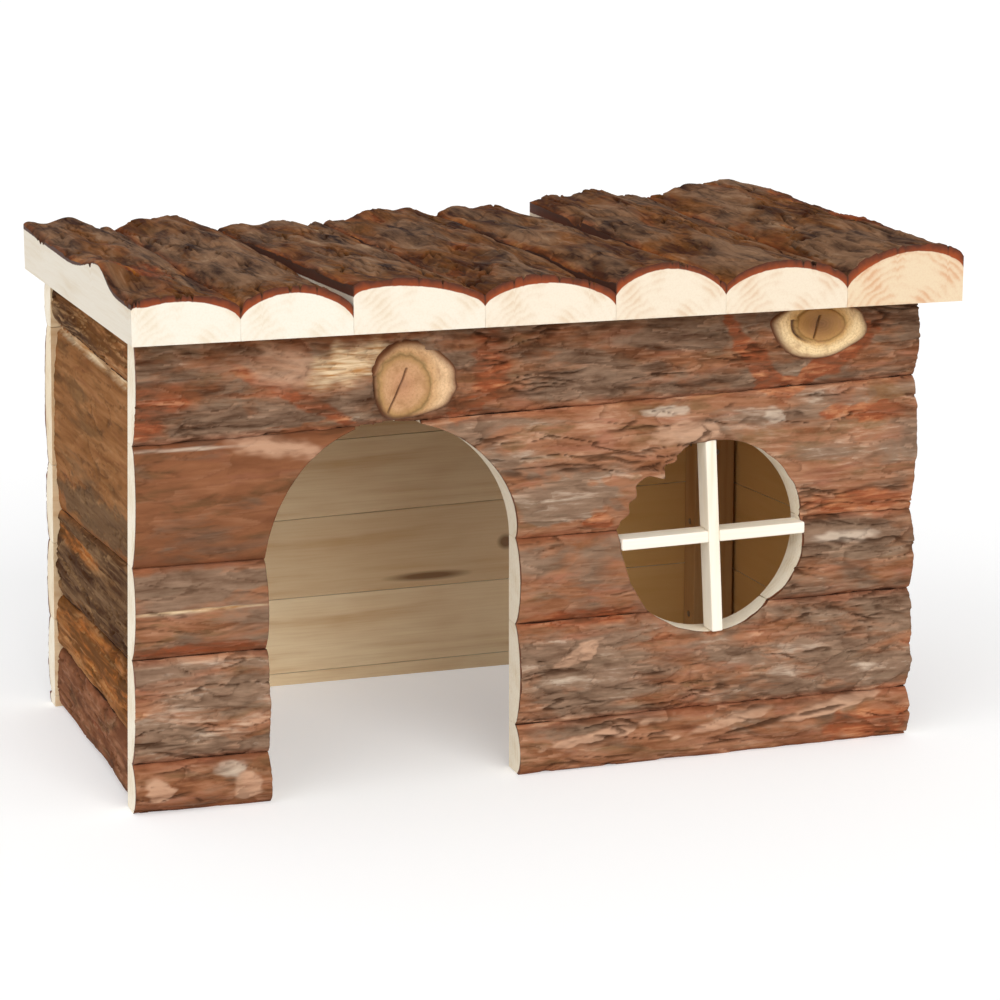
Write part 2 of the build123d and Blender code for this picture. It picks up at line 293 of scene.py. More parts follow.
# ---- Slab meshes: a fine grid for the bark, a clean sawn edge all round, and a flat inner face ----

BARK, EDGE, INSIDE = 0, 1, 2  # what the attribute called finish can say
EDGE_WANE_MM = 1.0  # how far the bark rounds off at a slab's long edges
EDGE_SHARE, EDGE_REACH_MM = 0.35, 3  # how much thicker the bark is near them, and how far in
PITH_BELOW_MM = 9.0  # how far the log's pith lies below the slab's inner face
JOINT_MM, ROOF_JOINT_MM = 0.12, 0.05  # how far neighbours' inner faces are apart, halved
PLATE_LEVELS = 7.0  # how many layers the plates of bark are cut into
MAP_GAP_MM = 1.5  # what lies between the parts of the map for baking
HORN_MM = 0.8  # a slab's horn between an opening and its own long edge ends where it gets this thin
HORN_SLOPE = 0.9  # only an opening's edge that runs along the slab, more nearly than this, cuts a horn
ONTO_EDGE_CELLS = 1.5  # cut corners this near an opening's edge are moved onto it
AT_EDGE = 0.001  # a share of the width that counts as the slab's long edge
NO_CEILING_MM = 1000.0
WAVES = 8  # how many waves make up a random field
TORN_AT, TORN_SPREAD, TORN_REACH = 143, 26, 4.5 * MM  # where round the window its rim is torn, in degrees


def store(mesh, name, values, domain="POINT"):
    """Gives every point or face of a mesh a number, a whole number or a vector."""
    whole, vector = values.dtype.kind == "i", values.ndim == 2
    kind = "INT" if whole else "FLOAT_VECTOR" if vector else "FLOAT"
    made = mesh.attributes.new(name, kind, domain)
    made.data.foreach_set("vector" if vector else "value", values.astype("i4" if whole else "f4").ravel())


def shown_as(name, data):
    """A new object in the scene, with this mesh, light or camera."""
    made = bpy.data.objects.new(name, data)
    bpy.context.scene.collection.objects.link(made)
    return made


def wobble(along, across, size_mm, seed):
    """A smooth random field, mostly from -1 to 1: waves of about one size in random directions."""
    draw = np.random.default_rng(seed)
    total = 0.0
    for _ in range(WAVES):
        turn, phase = draw.uniform(0, 2 * math.pi, 2)
        pitch = size_mm * MM * draw.uniform(0.6, 1.7)
        run = along * math.cos(turn) * 0.5 + across * math.sin(turn)
        total = total + np.sin(run * 2 * math.pi / pitch + phase)
    return total / 3


def bell(distance, width):
    """1 at no distance, and falling off smoothly over the width to both sides."""
    return np.exp(-((distance / width) ** 2))


# What a mark on the bark can be, and how far it lifts or sinks the surface, in millimetres.
KINDS = {"ember": -0.5, "bare": -1.3, "fresh": 0.5, "grey": 0.2, "pale": 0.5, "dark": -0.9, "cut": -0.9}


class Mark:
    """A patch on the bark: its kind, its centre from the side's lower left, half sizes and turn."""

    def __init__(self, kind, along_mm, across_mm, half_long_mm, half_high_mm, turn_deg=0, soft=0.3):
        self.kind, self.soft = kind, soft
        self.along_mm, self.across_mm = along_mm, across_mm
        self.half_long_mm, self.half_high_mm = half_long_mm, half_high_mm
        self.turn = math.radians(turn_deg)

    def cover(self, along, across):
        """How much of each point it covers, from 0 to 1, with a ragged edge."""
        x, y = along / MM - self.along_mm, across / MM - self.across_mm
        u = (x * math.cos(self.turn) + y * math.sin(self.turn)) / self.half_long_mm
        v = (y * math.cos(self.turn) - x * math.sin(self.turn)) / self.half_high_mm
        seed = int(self.along_mm * 7 + self.across_mm * 3) % 997
        rough = 0.16 * wobble(along, across, 7, seed) + 0.12 * wobble(along, across, 2.6, seed + 1)
        reach = np.hypot(u, v) + rough
        share = np.clip((1 + self.soft / 2 - reach) / self.soft, 0, 1)
        return share * share * (3 - 2 * share)


def ragged_rim(along, across):
    """The bark round the window broke away in flakes at the upper left, so its edge is moved in and out."""
    x, z = along - WINDOW_X, across - WINDOW_Z
    reach, turn = np.hypot(x, z), np.arctan2(z, x)
    torn = bell(np.degrees(turn) - TORN_AT, TORN_SPREAD) + 0.06
    run = turn * WINDOW_RADIUS * 2
    teeth = wobble(run, 0 * run, 15, 5) + 0.7 * wobble(run, 0 * run, 6, 6)
    near = bell(reach - WINDOW_RADIUS, TORN_REACH)
    shift = bpy.context.scene.house_sizes.ragged * torn * np.clip(0.5 + 0.8 * teeth, -0.4, 2.2) * near
    return along - shift * x / reach, across - shift * z / reach


class Hump:
    """A low mound in the log under the bark, and how thick the bark is on it. beyond is how much longer it
    is after its crest."""

    def __init__(self, along_mm, across_mm, half_long_mm, half_high_mm, lift_mm, bark_mm, beyond=1):
        self.centre, self.half = (along_mm, across_mm), (half_long_mm, half_high_mm)
        self.lift_mm, self.bark_mm, self.beyond = lift_mm, bark_mm, beyond

    def share(self, along, across):
        """How much of its height each point gets."""
        u, v = ((p / MM - c) / h for p, c, h in zip((along, across), self.centre, self.half))
        u = np.where(u > 0, u / self.beyond, u)
        return np.exp(-(u * u + v * v))


def rim_of(faces):
    """The vertices round the outside of a patch of faces, in order."""
    starts, stops = faces.ravel(), np.roll(faces, -1, 1).ravel()
    count = int(faces.max()) + 1
    there, back = starts * count + stops, stops * count + starts
    lone = ~np.isin(there, back)
    follows = dict(zip(starts[lone].tolist(), stops[lone].tolist()))
    rim = [min(follows)]
    while follows[rim[-1]] != rim[0]:
        rim.append(follows[rim[-1]])
    return np.array(rim)


def filled(along, across):
    """Triangles that fill the outline through these points, turned the way the outline's plane looks."""
    points = [Vector(place) for place in zip(along / MM, across / MM)]
    area = np.dot(along, np.roll(across, -1)) - np.dot(across, np.roll(along, -1))
    outline = list(range(len(points)))[:: 1 if area > 0 else -1]
    _, _, faces, origins, _, _ = delaunay_2d_cdt(points, [], [outline], 1, 1e-5)
    return np.array([[origins[corner][0] for corner in face] for face in faces])


def lay_flat(mesh, rim, out, faces, base, places, turned):
    """Gives a slab a map for baking, true to size: its bark, its inner face beside that, and its cut edges
    as strips under both."""
    low, high = places[faces].min((0, 1)), places[faces].max((0, 1))
    length, width = high - low
    gap = MAP_GAP_MM * MM
    steps = np.linalg.norm(places[np.roll(rim, -1)] - places[rim], axis=1)
    run = np.concatenate([[0.0], np.cumsum(steps)])
    row = np.floor(run[:-1] / (length - steps.max())).astype(int)
    begin = run[:-1][np.searchsorted(row, row)]
    tall = out[rim].max() + gap
    foot = row * tall + 2 * (width + gap)
    near, far = run[:-1] - begin, run[1:] - begin
    top, top_next = foot + out[rim], foot + np.roll(out[rim], -1)
    strips = np.stack([near, top, near, foot, far, foot, far, top_next], 1).reshape(-1, 4, 2)
    bark_map = places[faces] - low
    if turned:
        strips, bark_map = strips[:, ::-1], bark_map[:, ::-1]
    inner_map = places[rim[base]] - low + np.array([0, width + gap])
    spread = np.concatenate([bark_map.reshape(-1, 2), strips.reshape(-1, 2), inner_map]) + gap
    spread = spread / (spread.max() + gap)
    layer = mesh.uv_layers.new(name="OFBake")
    layer.data.foreach_set("uv", spread.astype(np.float32).ravel())


def slab_object(node, side, log, cell_mm, bark_mm, holes, ceiling, marks, humps):
    """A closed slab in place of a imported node, still with smooth bark. Its attributes tell the bark relief
    and the materials where each point lies in the log."""
    flat = side.flat(vertices_of(node))
    start, stop = flat[:, 0].min(), flat[:, 0].max()
    counts = [max(3, round(size / (cell_mm * MM)) + 1) for size in (stop - start, log.width)]
    step, share = np.meshgrid(*(np.linspace(0, 1, count) for count in counts), indexing="ij")
    begin, end = log.reach(share)
    begin = begin if start < log.start + MOST_LEAN else start
    end = end if stop > log.stop - MOST_LEAN else stop
    along = begin + (end - begin) * step
    across, height = log.bark(along, share)
    number = np.arange(along.size).reshape(along.shape)
    corners = [number[:-1, :-1], number[1:, :-1], number[1:, 1:], number[:-1, 1:]]
    faces = np.stack([c.ravel() for c in corners], 1)
    along, across, height, share = (a.ravel() for a in (along, across, height, share))
    if holes:
        x, z = along[faces].mean(1), across[faces].mean(1)
        gap = holes(x, z)
        thin = gap + np.minimum(share, 1 - share)[faces].mean(1) * log.width < HORN_MM * MM
        beside = abs(holes(x, z + NUDGE) - gap) > HORN_SLOPE * NUDGE
        whole = np.bincount(faces.ravel(), minlength=along.size)
        horn = np.unique(faces[(gap > 0) & thin & beside])
        faces = faces[(gap > 0) & ~(thin & beside)]
        rim = rim_of(faces)
        lost = whole > np.bincount(faces.ravel(), minlength=along.size)
        close = holes(along[rim], across[rim]) < ONTO_EDGE_CELLS * cell_mm * MM
        near = rim[close & ~np.isin(rim, horn) & lost[rim]]
        along[near], across[near] = onto_edge(along[near], across[near])
    used, faces = np.unique(faces, return_inverse=True)
    faces = faces.reshape(-1, 4)
    along, across, height, share = (a[used] for a in (along, across, height, share))
    rim = rim_of(faces)
    from_edge = np.minimum(share, 1 - share) * log.width / MM
    height = height - EDGE_WANE_MM * MM * np.exp(-from_edge / EDGE_WANE_MM)
    stain = {kind: np.zeros(len(used)) for kind in KINDS}
    for mark in marks:
        cover = mark.cover(along - side.begin, across)
        stain[mark.kind] = np.maximum(stain[mark.kind], cover)
    thick = bark_mm * (1 + EDGE_SHARE * np.exp(-from_edge / EDGE_REACH_MM))
    for hump in humps:
        there = hump.share(along - side.begin, across)
        height = height + hump.lift_mm * MM * there
        thick = thick + (hump.bark_mm - thick) * there
    count, below = len(used), np.arange(len(rim)) + len(used)
    onto = np.roll(np.arange(len(rim)), -1)
    sides = np.stack([rim, below, below[onto], rim[onto]], 1)
    mesh = bpy.data.meshes.new(node + "_bark")
    joint = (ROOF_JOINT_MM if side is ROOF else JOINT_MM) * MM
    low_across = across[rim] + joint * ((share[rim] < AT_EDGE) * 1.0 - (share[rim] > 1 - AT_EDGE))
    all_along, all_across = np.append(along, along[rim]), np.append(across, low_across)
    base = count + filled(along[rim], across[rim])[:, ::-1]
    out = np.append(height, np.zeros(len(rim)))
    if holes:
        all_along[:count], all_across[:count] = ragged_rim(along, across)
    places = side.place(all_along, all_across, out)
    quads = np.concatenate([faces, sides])
    if side.turned:
        quads, base = quads[:, ::-1], base[:, ::-1]
    loops = np.append(quads, base)
    sizes = np.repeat([4, 3], [len(quads), len(base)])
    mesh.vertices.add(len(places))
    mesh.vertices.foreach_set("co", places.astype("f4").ravel())
    mesh.loops.add(len(loops))
    mesh.loops.foreach_set("vertex_index", loops.astype("i4"))
    mesh.polygons.add(len(sizes))
    mesh.polygons.foreach_set("loop_start", (np.cumsum(sizes) - sizes).astype("i4"))
    top = np.repeat([1.0, 0.0], [count, len(rim)])
    top_height, thick, from_edge = (np.append(v, v[rim]) for v in (height / MM, thick, from_edge))
    in_wall = (1 - top) * top_height
    limit = NO_CEILING_MM if ceiling is None else ceiling / MM
    both = {kind: np.append(cover, cover[rim]) for kind, cover in stain.items()}
    for name, value in {
        "bark_depth": in_wall,
        "above_wood": thick - in_wall,
        "free": top,
        "room": limit - top_height,
        "from_edge": from_edge,
        "marked": sum(lift * both[kind] for kind, lift in KINDS.items()),
        "level": 1 - 0.7 * both["bare"] - both["cut"] * (1 - 0.7 * both["bare"]),
        "bark_map": np.stack([all_along / MM, all_across / MM, 0 * all_along], 1),
        "pith": np.stack([(all_across - log.middle) / MM, out / MM + PITH_BELOW_MM, all_along / MM], 1),
        "stain": np.stack([both["ember"], both["bare"], both["fresh"]], 1),
        "skin": np.stack([both["grey"], both["pale"], both["dark"]], 1),
    }.items():
        store(mesh, name, value)
    store(mesh, "finish", np.repeat([BARK, EDGE, INSIDE], [len(faces), len(sides), len(base)]), "FACE")
    spread = np.stack([along, across], 1)
    lay_flat(mesh, rim, height, faces, base.ravel() - count, spread, side.turned)
    mesh.update(calc_edges=True)
    return shown_as(mesh.name, mesh)


# ---- The bark relief, as geometry nodes ----


def first_output(node):
    """The first output that a node shows."""
    return next(socket for socket in node.outputs if socket.enabled)


def add(tree, kind, *feeds, **settings):
    """Adds one node with its settings and links. kind is the node's type with ShaderNode left out, and what
    a math node does. The feeds go to its inputs in order, such as a noise's place, scale, detail and
    roughness, or a map range's value, low, high, least and most. A dict as the last of them feeds inputs by
    name. Each is a value, a socket, or a node, whose first output is used."""
    kind, *operation = kind.split()
    made = tree.nodes.new(kind if "Node" in kind else "ShaderNode" + kind)
    if operation:
        made.operation = operation[0]
    for name, value in settings.items():
        setattr(made, name, value)
    shown = [socket for socket in made.inputs if socket.enabled]
    named = feeds[-1] if feeds and isinstance(feeds[-1], dict) else {}
    wanted = list(zip(shown, feeds[:-1] if named else feeds))
    wanted += [(next(s for s in shown if s.name == name), value) for name, value in named.items()]
    for socket, value in wanted:
        if isinstance(value, bpy.types.Node):
            value = first_output(value)
        if isinstance(value, bpy.types.NodeSocket):
            tree.links.new(value, socket)
        else:
            socket.default_value = value
    return made


def grain(tree, place, sizes, detail, roughness=0.5, distortion=0.0, shift=None):
    """A cloudy pattern in patches of these sizes along each axis, in the units of place."""
    place = add(tree, "VectorMath MULTIPLY", place, [1 / size for size in sizes])
    if shift:
        place = add(tree, "VectorMath ADD", place, shift)
    last = {"Roughness": roughness, "Distortion": distortion}
    return add(tree, "TexNoise", place, 1.0, detail, last)


def pushed_about(tree, place, pattern, reach):
    """Places moved to and fro by the colours of a pattern, by up to half of reach along each axis."""
    centred = add(tree, "VectorMath SUBTRACT", pattern.outputs["Color"], (0.5, 0.5, 0.5))
    pushed = add(tree, "VectorMath MULTIPLY", centred, reach)
    return add(tree, "VectorMath ADD", place, pushed)


# The bark's relief on one slab: how much greyer, redder and lighter than others it looks, the lengths and
# widths of its plates, scales and fibres and how far each rises, how deep its crevices are, its grit and
# swell, all in millimetres, and how strong its streaks and how warm its sawn wood are.
Relief = namedtuple(
    "Relief",
    "look plate_length plate_width plate_rise scale_length scale_width scale_rise fibre_length fibre_width"
    " fibre_rise crevice_depth grit swell streaks warmth",
)
PLAIN = Relief((0.0, 1.0, 0.0), 44.0, 11.0, 5.0, 15.0, 4.6, 0.5, 20.0, 3.4, 0.55, 1.1, 0.12, 1.6, 1.0, 0.0)


def input_name(field):
    """What the geometry nodes call a field of Relief, such as Plate Length."""
    return field.replace("_", " ").title()


def bark_relief():
    """Raises plates, scales, fibres, crevices and grit on a slab, and stores what each gives the bark's
    colour: layer, tone, fresh (torn rims, also a painted highlight) and crack (crevices and grooves, with
    painted shadow at the foot of each plate's step)."""
    tree = bpy.data.node_groups.get("bark_relief")
    if tree:
        return tree
    tree = bpy.data.node_groups.new("bark_relief", "GeometryNodeTree")
    tree.interface.new_socket("Geometry", in_out="OUTPUT", socket_type="NodeSocketGeometry")
    kinds = {"Geometry": "Geometry", "Out": "Vector", "Look": "Vector", "Seed": "Float"}
    kinds.update({input_name(field): "Float" for field in Relief._fields[1:]})
    kinds.update({"Bark": "Material", "Edge": "Material", "Inside": "Material"})
    for name, kind in kinds.items():
        tree.interface.new_socket(name, in_out="INPUT", socket_type="NodeSocket" + kind)
    given = add(tree, "NodeGroupInput").outputs
    flat = add(tree, "GeometryNodeInputNamedAttribute", "bark_map", data_type="FLOAT_VECTOR")
    offset = add(tree, "CombineXYZ", 0.0, 0.0, given["Seed"])
    seeded = add(tree, "VectorMath ADD", flat, offset)
    # The grain wanders, so everything that follows is read from places that are pushed about a little.
    wander = grain(tree, seeded, (30, 11, 1), 2.0)
    place = pushed_about(tree, seeded, wander, (18, 8, 0))

    # Plates: a drawn-out noise cut into steps, so that layers of bark lie on each other with torn edges.
    stretch = add(tree, "CombineXYZ", given["Plate Length"], given["Plate Width"], 1.0)
    laid = add(tree, "VectorMath DIVIDE", place, stretch)
    layers = add(tree, "TexNoise", laid, 1.0, 2.6, 0.5)
    levels = add(tree, "Math MULTIPLY", layers, PLATE_LEVELS)
    level = add(tree, "Math FLOOR", levels)
    within = add(tree, "Math FRACT", levels)
    step = add(tree, "MapRange", within, 0.0, 0.2, interpolation_type="SMOOTHSTEP")
    terrace = add(tree, "Math ADD", level, step)
    layer = add(tree, "Math MULTIPLY", terrace, 1 / PLATE_LEVELS)
    # Each step's upper rim is its torn edge, paler as fresh bark and as a painted highlight; its foot gets
    # painted shadow.
    torn = add(tree, "MapRange", within, 0.05, 0.32, 1.0, 0.0, interpolation_type="SMOOTHSTEP")
    foot = add(tree, "MapRange", within, 0.84, 1.0, interpolation_type="SMOOTHSTEP")

    # Scales: long overlapping flakes, each a low mound of its own height and tone.
    ruffle = grain(tree, seeded, (9, 4, 1), 3.0, 0.6)
    ruffled = pushed_about(tree, place, ruffle, (9, 4.5, 0))
    stretch = add(tree, "CombineXYZ", given["Scale Length"], given["Scale Width"], 1.0)
    scaled = add(tree, "VectorMath DIVIDE", ruffled, stretch)
    feeds = {"Vector": scaled, "Scale": 1.0, "Randomness": 1.0}
    cells = add(tree, "TexVoronoi", feeds)
    gaps = add(tree, "TexVoronoi", feeds, feature="DISTANCE_TO_EDGE")
    cell_height, cell_tone, _ = add(tree, "SeparateXYZ", cells.outputs["Color"]).outputs
    mound = add(tree, "MapRange", gaps, 0.0, 0.3, interpolation_type="SMOOTHERSTEP")
    scale = add(tree, "Math MULTIPLY_ADD", cell_height, 0.9, mound)
    groove = add(tree, "MapRange", gaps, 0.0, 0.12, 1.0, 0.0, interpolation_type="SMOOTHSTEP")
    uneven = add(tree, "MapRange", ruffle, 0.45, 0.62)
    groove = add(tree, "Math MULTIPLY", groove, given["Scale Rise"])
    groove = add(tree, "Math MULTIPLY", groove, uneven)

    # Fibres, crevices and grit.
    stretch = add(tree, "CombineXYZ", given["Fibre Length"], given["Fibre Width"], 1.0)
    drawn_out = add(tree, "VectorMath DIVIDE", ruffled, stretch)
    fibres = add(tree, "TexNoise", drawn_out, 1.0, 5.0, 0.6)
    valleys = grain(tree, place, (46, 7, 1), 2.5, 0.55)
    off_middle = add(tree, "Math SUBTRACT", valleys, 0.5)
    nearness = add(tree, "Math ABSOLUTE", off_middle)
    crevice = add(tree, "MapRange", nearness, 0.004, 0.022, 1.0, 0.0, interpolation_type="SMOOTHSTEP")
    patches = grain(tree, seeded, (40, 16, 1 / 3), 2.0)
    opened = add(tree, "MapRange", patches, 0.46, 0.58, interpolation_type="SMOOTHSTEP")
    crack = add(tree, "Math MULTIPLY", crevice, opened)
    grit = grain(tree, place, (2, 1, 1), 2.0)
    swell = grain(tree, seeded, (60, 22, 1), 2.0)

    rise = 0.0
    for field, strength, middle in (
        (layer, "Plate Rise", 0.5),
        (scale, "Scale Rise", 0.9),
        (fibres, "Fibre Rise", 0.5),
        (grit, "Grit", 0.5),
        (swell, "Swell", 0.5),
    ):
        centred = add(tree, "Math SUBTRACT", field, middle)
        rise = add(tree, "Math MULTIPLY_ADD", centred, given[strength], rise)
    sunk = add(tree, "Math MULTIPLY", crack, given["Crevice Depth"])
    rise = add(tree, "Math SUBTRACT", rise, sunk)
    # Where the bark is bare to the wood it is smooth, and every mark is a little higher or lower.
    rough, marked, free, room, above = (
        add(tree, "GeometryNodeInputNamedAttribute", name, data_type="FLOAT")
        for name in ("level", "marked", "free", "room", "above_wood")
    )
    rise = add(tree, "Math MULTIPLY_ADD", rise, rough, marked)
    rise = add(tree, "Math MINIMUM", rise, room)
    rise = add(tree, "Math MULTIPLY", rise, free)
    raised = add(tree, "Math ADD", above, rise)
    tone = add(tree, "Math MULTIPLY", cell_tone, 0.3)
    tone = add(tree, "Math MULTIPLY_ADD", fibres, 0.7, tone)
    # Painted shadow at the foot of each step joins the crevices and the grooves between scales in crack.
    dark = add(tree, "Math MULTIPLY_ADD", foot, 0.55, crack)
    dark = add(tree, "Math MULTIPLY_ADD", groove, 0.6, dark)
    # The torn rims, stored as fresh, are both fresh bark and a painted highlight.
    torn_rim_and_highlight = add(tree, "Math MULTIPLY", torn, rough)

    shape = given["Geometry"]
    for name, field in (
        ("rise", rise),
        ("above_wood", raised),
        ("layer", layer),
        ("tone", tone),
        ("fresh", torn_rim_and_highlight),
        ("crack", dark),
        ("look", given["Look"]),
        ("streaks", given["Streaks"]),
        ("warmth", given["Warmth"]),
    ):
        kind = "FLOAT_VECTOR" if name == "look" else "FLOAT"
        feeds = {"Geometry": shape, "Name": name, "Value": field}
        shape = add(tree, "GeometryNodeStoreNamedAttribute", feeds, data_type=kind, domain="POINT")
    lift = add(tree, "GeometryNodeInputNamedAttribute", "rise", data_type="FLOAT")
    metres = add(tree, "Math MULTIPLY", lift, MM)
    offset = add(tree, "VectorMath SCALE", given["Out"], metres)
    shape = add(tree, "GeometryNodeSetPosition", {"Geometry": shape, "Offset": offset})
    shape = add(tree, "GeometryNodeRealizeInstances", shape)
    finish = add(tree, "GeometryNodeInputNamedAttribute", "finish", data_type="INT")
    for number, name in ((BARK, "Bark"), (EDGE, "Edge"), (INSIDE, "Inside")):
        worn = add(tree, "FunctionNodeCompare", finish, number, data_type="INT", operation="EQUAL")
        shape = add(tree, "GeometryNodeSetMaterial", shape, worn, given[name])
    add(tree, "NodeGroupOutput", shape)
    return tree


def made_solid(made, tree, inputs):
    """Runs a geometry node tree on an object, with its named inputs, and keeps the result as a mesh."""
    worker = made.modifiers.new(tree.name, "NODES")
    worker.node_group = tree
    for item in tree.interface.items_tree:
        if item.item_type == "SOCKET" and item.in_out == "INPUT" and item.name in inputs:
            worker[item.identifier] = inputs[item.name]
    depsgraph = bpy.context.evaluated_depsgraph_get()
    depsgraph.update()
    mesh = bpy.data.meshes.new_from_object(
        made.evaluated_get(depsgraph), preserve_all_data_layers=True, depsgraph=depsgraph
    )
    made.modifiers.remove(worker)
    plain = made.data
    made.data = mesh
    bpy.data.meshes.remove(plain)
    mesh.name = made.name


# ---- Materials ----


def matt_material(name, roughness, specular):
    """A material with one plain shader, its node tree, and that shader."""
    material = bpy.data.materials.new(name)
    material.use_nodes = True
    shader = material.node_tree.nodes["Principled BSDF"]
    shader.inputs["Roughness"].default_value = roughness
    shader.inputs["Specular IOR Level"].default_value = specular
    return material, material.node_tree, shader


def wash(tree, shade, over, value, low, high, least=0.0, most=1.0):
    """Lays a colour over a shade: by the share least where the value is low, and most where it is high."""
    share = add(tree, "MapRange", value, low, high, least, most)
    return add(tree, "Mix", share, shade, over, data_type="RGBA")


def coat(tree, shader, shade, height, strength, deep_mm):
    """Gives the shader its colour, and a bump up to this deep."""
    bump = add(tree, "Bump", {"Height": height, "Strength": strength, "Distance": deep_mm * MM})
    tree.links.new(first_output(shade), shader.inputs["Base Color"])
    tree.links.new(first_output(bump), shader.inputs["Normal"])


def bark(name, crevice, dark, middle, light, flake, grey, rose, olive, ember, blaze, pale, stretch=(1, 1)):
    """Air-dried softwood bark, left on the log. Fibres and flakes make it streaky, the weathered skin is
    greyer, the layers under it redder, torn edges are pale, as fresh bark and as a painted highlight, and
    the crevices stay dark, with painted shadow at the foot of each plate's step. stretch draws its
    pattern out along and across the slab."""
    codes = (crevice, dark, middle, light, flake, grey, rose, olive, ember, blaze, pale)
    crevice, dark, middle, light, flake, grey, rose, olive, ember, blaze, pale = map(colour, codes)
    material, tree, shader = matt_material(name, 0.9, 0.1)
    flat = add(tree, "Attribute", attribute_name="bark_map").outputs["Vector"]
    tone, fresh, crack, layer, from_edge, streaks = (
        add(tree, "Attribute", attribute_name=n).outputs["Fac"]
        for n in ("tone", "fresh", "crack", "layer", "from_edge", "streaks")
    )
    (greyer, redder, lighter), (embers, bared, torn_off), (greyed, paled, darkened) = (
        add(tree, "SeparateXYZ", add(tree, "Attribute", attribute_name=n).outputs["Vector"]).outputs
        for n in ("look", "stain", "skin")
    )

    def streaky(long_mm, high_mm, detail, roughness, seed):
        sizes = (long_mm * stretch[0], high_mm * stretch[1], 1)
        return grain(tree, flat, sizes, detail, roughness, 0.5, (seed, seed, seed))

    def broken_up(mark, low, high, least, most):
        share = add(tree, "MapRange", flakes, low, high, least, most)
        return add(tree, "Math MULTIPLY", mark, share)

    fibres = streaky(12, 1.3, 5.0, 0.6, 0)
    flakes = streaky(17, 4.2, 4.0, 0.58, 7)
    spread = streaky(34, 11, 4.0, 0.58, 3)
    other = streaky(24, 7, 4.0, 0.6, 11)
    pattern = -0.5
    for field, weight in ((tone, 0.26), (fibres, 0.26), (flakes, 0.48)):
        pattern = add(tree, "Math MULTIPLY_ADD", field, weight, pattern)
    level = add(tree, "Math MULTIPLY_ADD", pattern, streaks, 0.5)
    level = add(tree, "Math ADD", level, lighter)
    shade = dark
    for over, low, high in ((middle, 0.38, 0.48), (light, 0.48, 0.57), (flake, 0.60, 0.72)):
        shade = wash(tree, shade, over, level, low, high)
    # Broad patches lean to rose or to olive, and the skin weathers to grey.
    rosy = wash(tree, dark, rose, level, 0.40, 0.60)
    shade = wash(tree, shade, rosy, other, 0.54, 0.64, 0.0, 0.55)
    mossy = wash(tree, crevice, olive, level, 0.38, 0.60)
    shade = wash(tree, shade, mossy, other, 0.46, 0.36, 0.0, 0.6)
    outer = greyer
    for field, weight in ((layer, 0.35), (spread, 1.1), (greyed, 0.35)):
        outer = add(tree, "Math MULTIPLY_ADD", field, weight, outer)
    weathered = wash(tree, crevice, grey, level, 0.36, 0.58)
    weathered = wash(tree, weathered, pale, level, 0.60, 0.74)
    shade = wash(tree, shade, weathered, outer, 0.68, 0.84, 0.0, 0.85)
    # Red inner bark shows where plates came off, along the slab's long edges, and at marks.
    inner = add(tree, "MapRange", layer, 0.30, 0.42, 0.55, 0.0)
    inner = add(tree, "Math MULTIPLY", inner, redder)
    at_edge = add(tree, "MapRange", from_edge, 0.4, 2.4, 0.55, 0.0)
    for place in (at_edge, broken_up(embers, 0.3, 0.5, 0.45, 1.0)):
        inner = add(tree, "Math MAXIMUM", inner, place)
    inner = add(tree, "Math MULTIPLY", inner, 0.85)
    reddened = wash(tree, dark, ember, level, 0.42, 0.54)
    reddened = wash(tree, reddened, blaze, level, 0.54, 0.66)
    shade = add(tree, "Mix", inner, shade, reddened, data_type="RGBA")
    # Torn edges, pale as fresh bark and with a painted highlight on the plates' upper rims, flakes that
    # turned pale, and places where the bark is off and the wood shows.
    torn = add(tree, "Math MULTIPLY", fresh, streaks)
    fibrous = add(tree, "MapRange", fibres, 0.4, 0.6, 0.0, 0.25)
    torn = add(tree, "Math MULTIPLY", torn, fibrous)
    torn = add(tree, "Math MAXIMUM", torn, broken_up(torn_off, 0.3, 0.55, 0.25, 0.8))
    wood = wash(tree, colour("#b3814f"), colour("#e6cda8"), fibres, 0.36, 0.6)
    for share, over in (
        (torn, flake),
        (broken_up(paled, 0.3, 0.55, 0.2, 0.75), pale),
        (broken_up(bared, 0.28, 0.46, 0.3, 1.0), wood),
    ):
        shade = add(tree, "Mix", share, shade, over, data_type="RGBA")
    # Crevices and cracks darken, and so does the foot of each plate's step, which is painted shadow.
    deep = add(tree, "MapRange", streaks, 0.0, 1.0, 0.15, 0.85)
    deep = add(tree, "Math MULTIPLY", crack, deep)
    deep = add(tree, "Math MAXIMUM", deep, darkened)
    shade = wash(tree, shade, crevice, deep, 0.0, 1.0, 0.0, 0.75)
    height = add(tree, "Math MULTIPLY_ADD", pattern, 4.0, streaky(3.5, 1.1, 4.0, 0.6, 5))
    height = add(tree, "Math MULTIPLY", height, streaks)
    coat(tree, shader, shade, height, 0.3, 0.5)
    return material


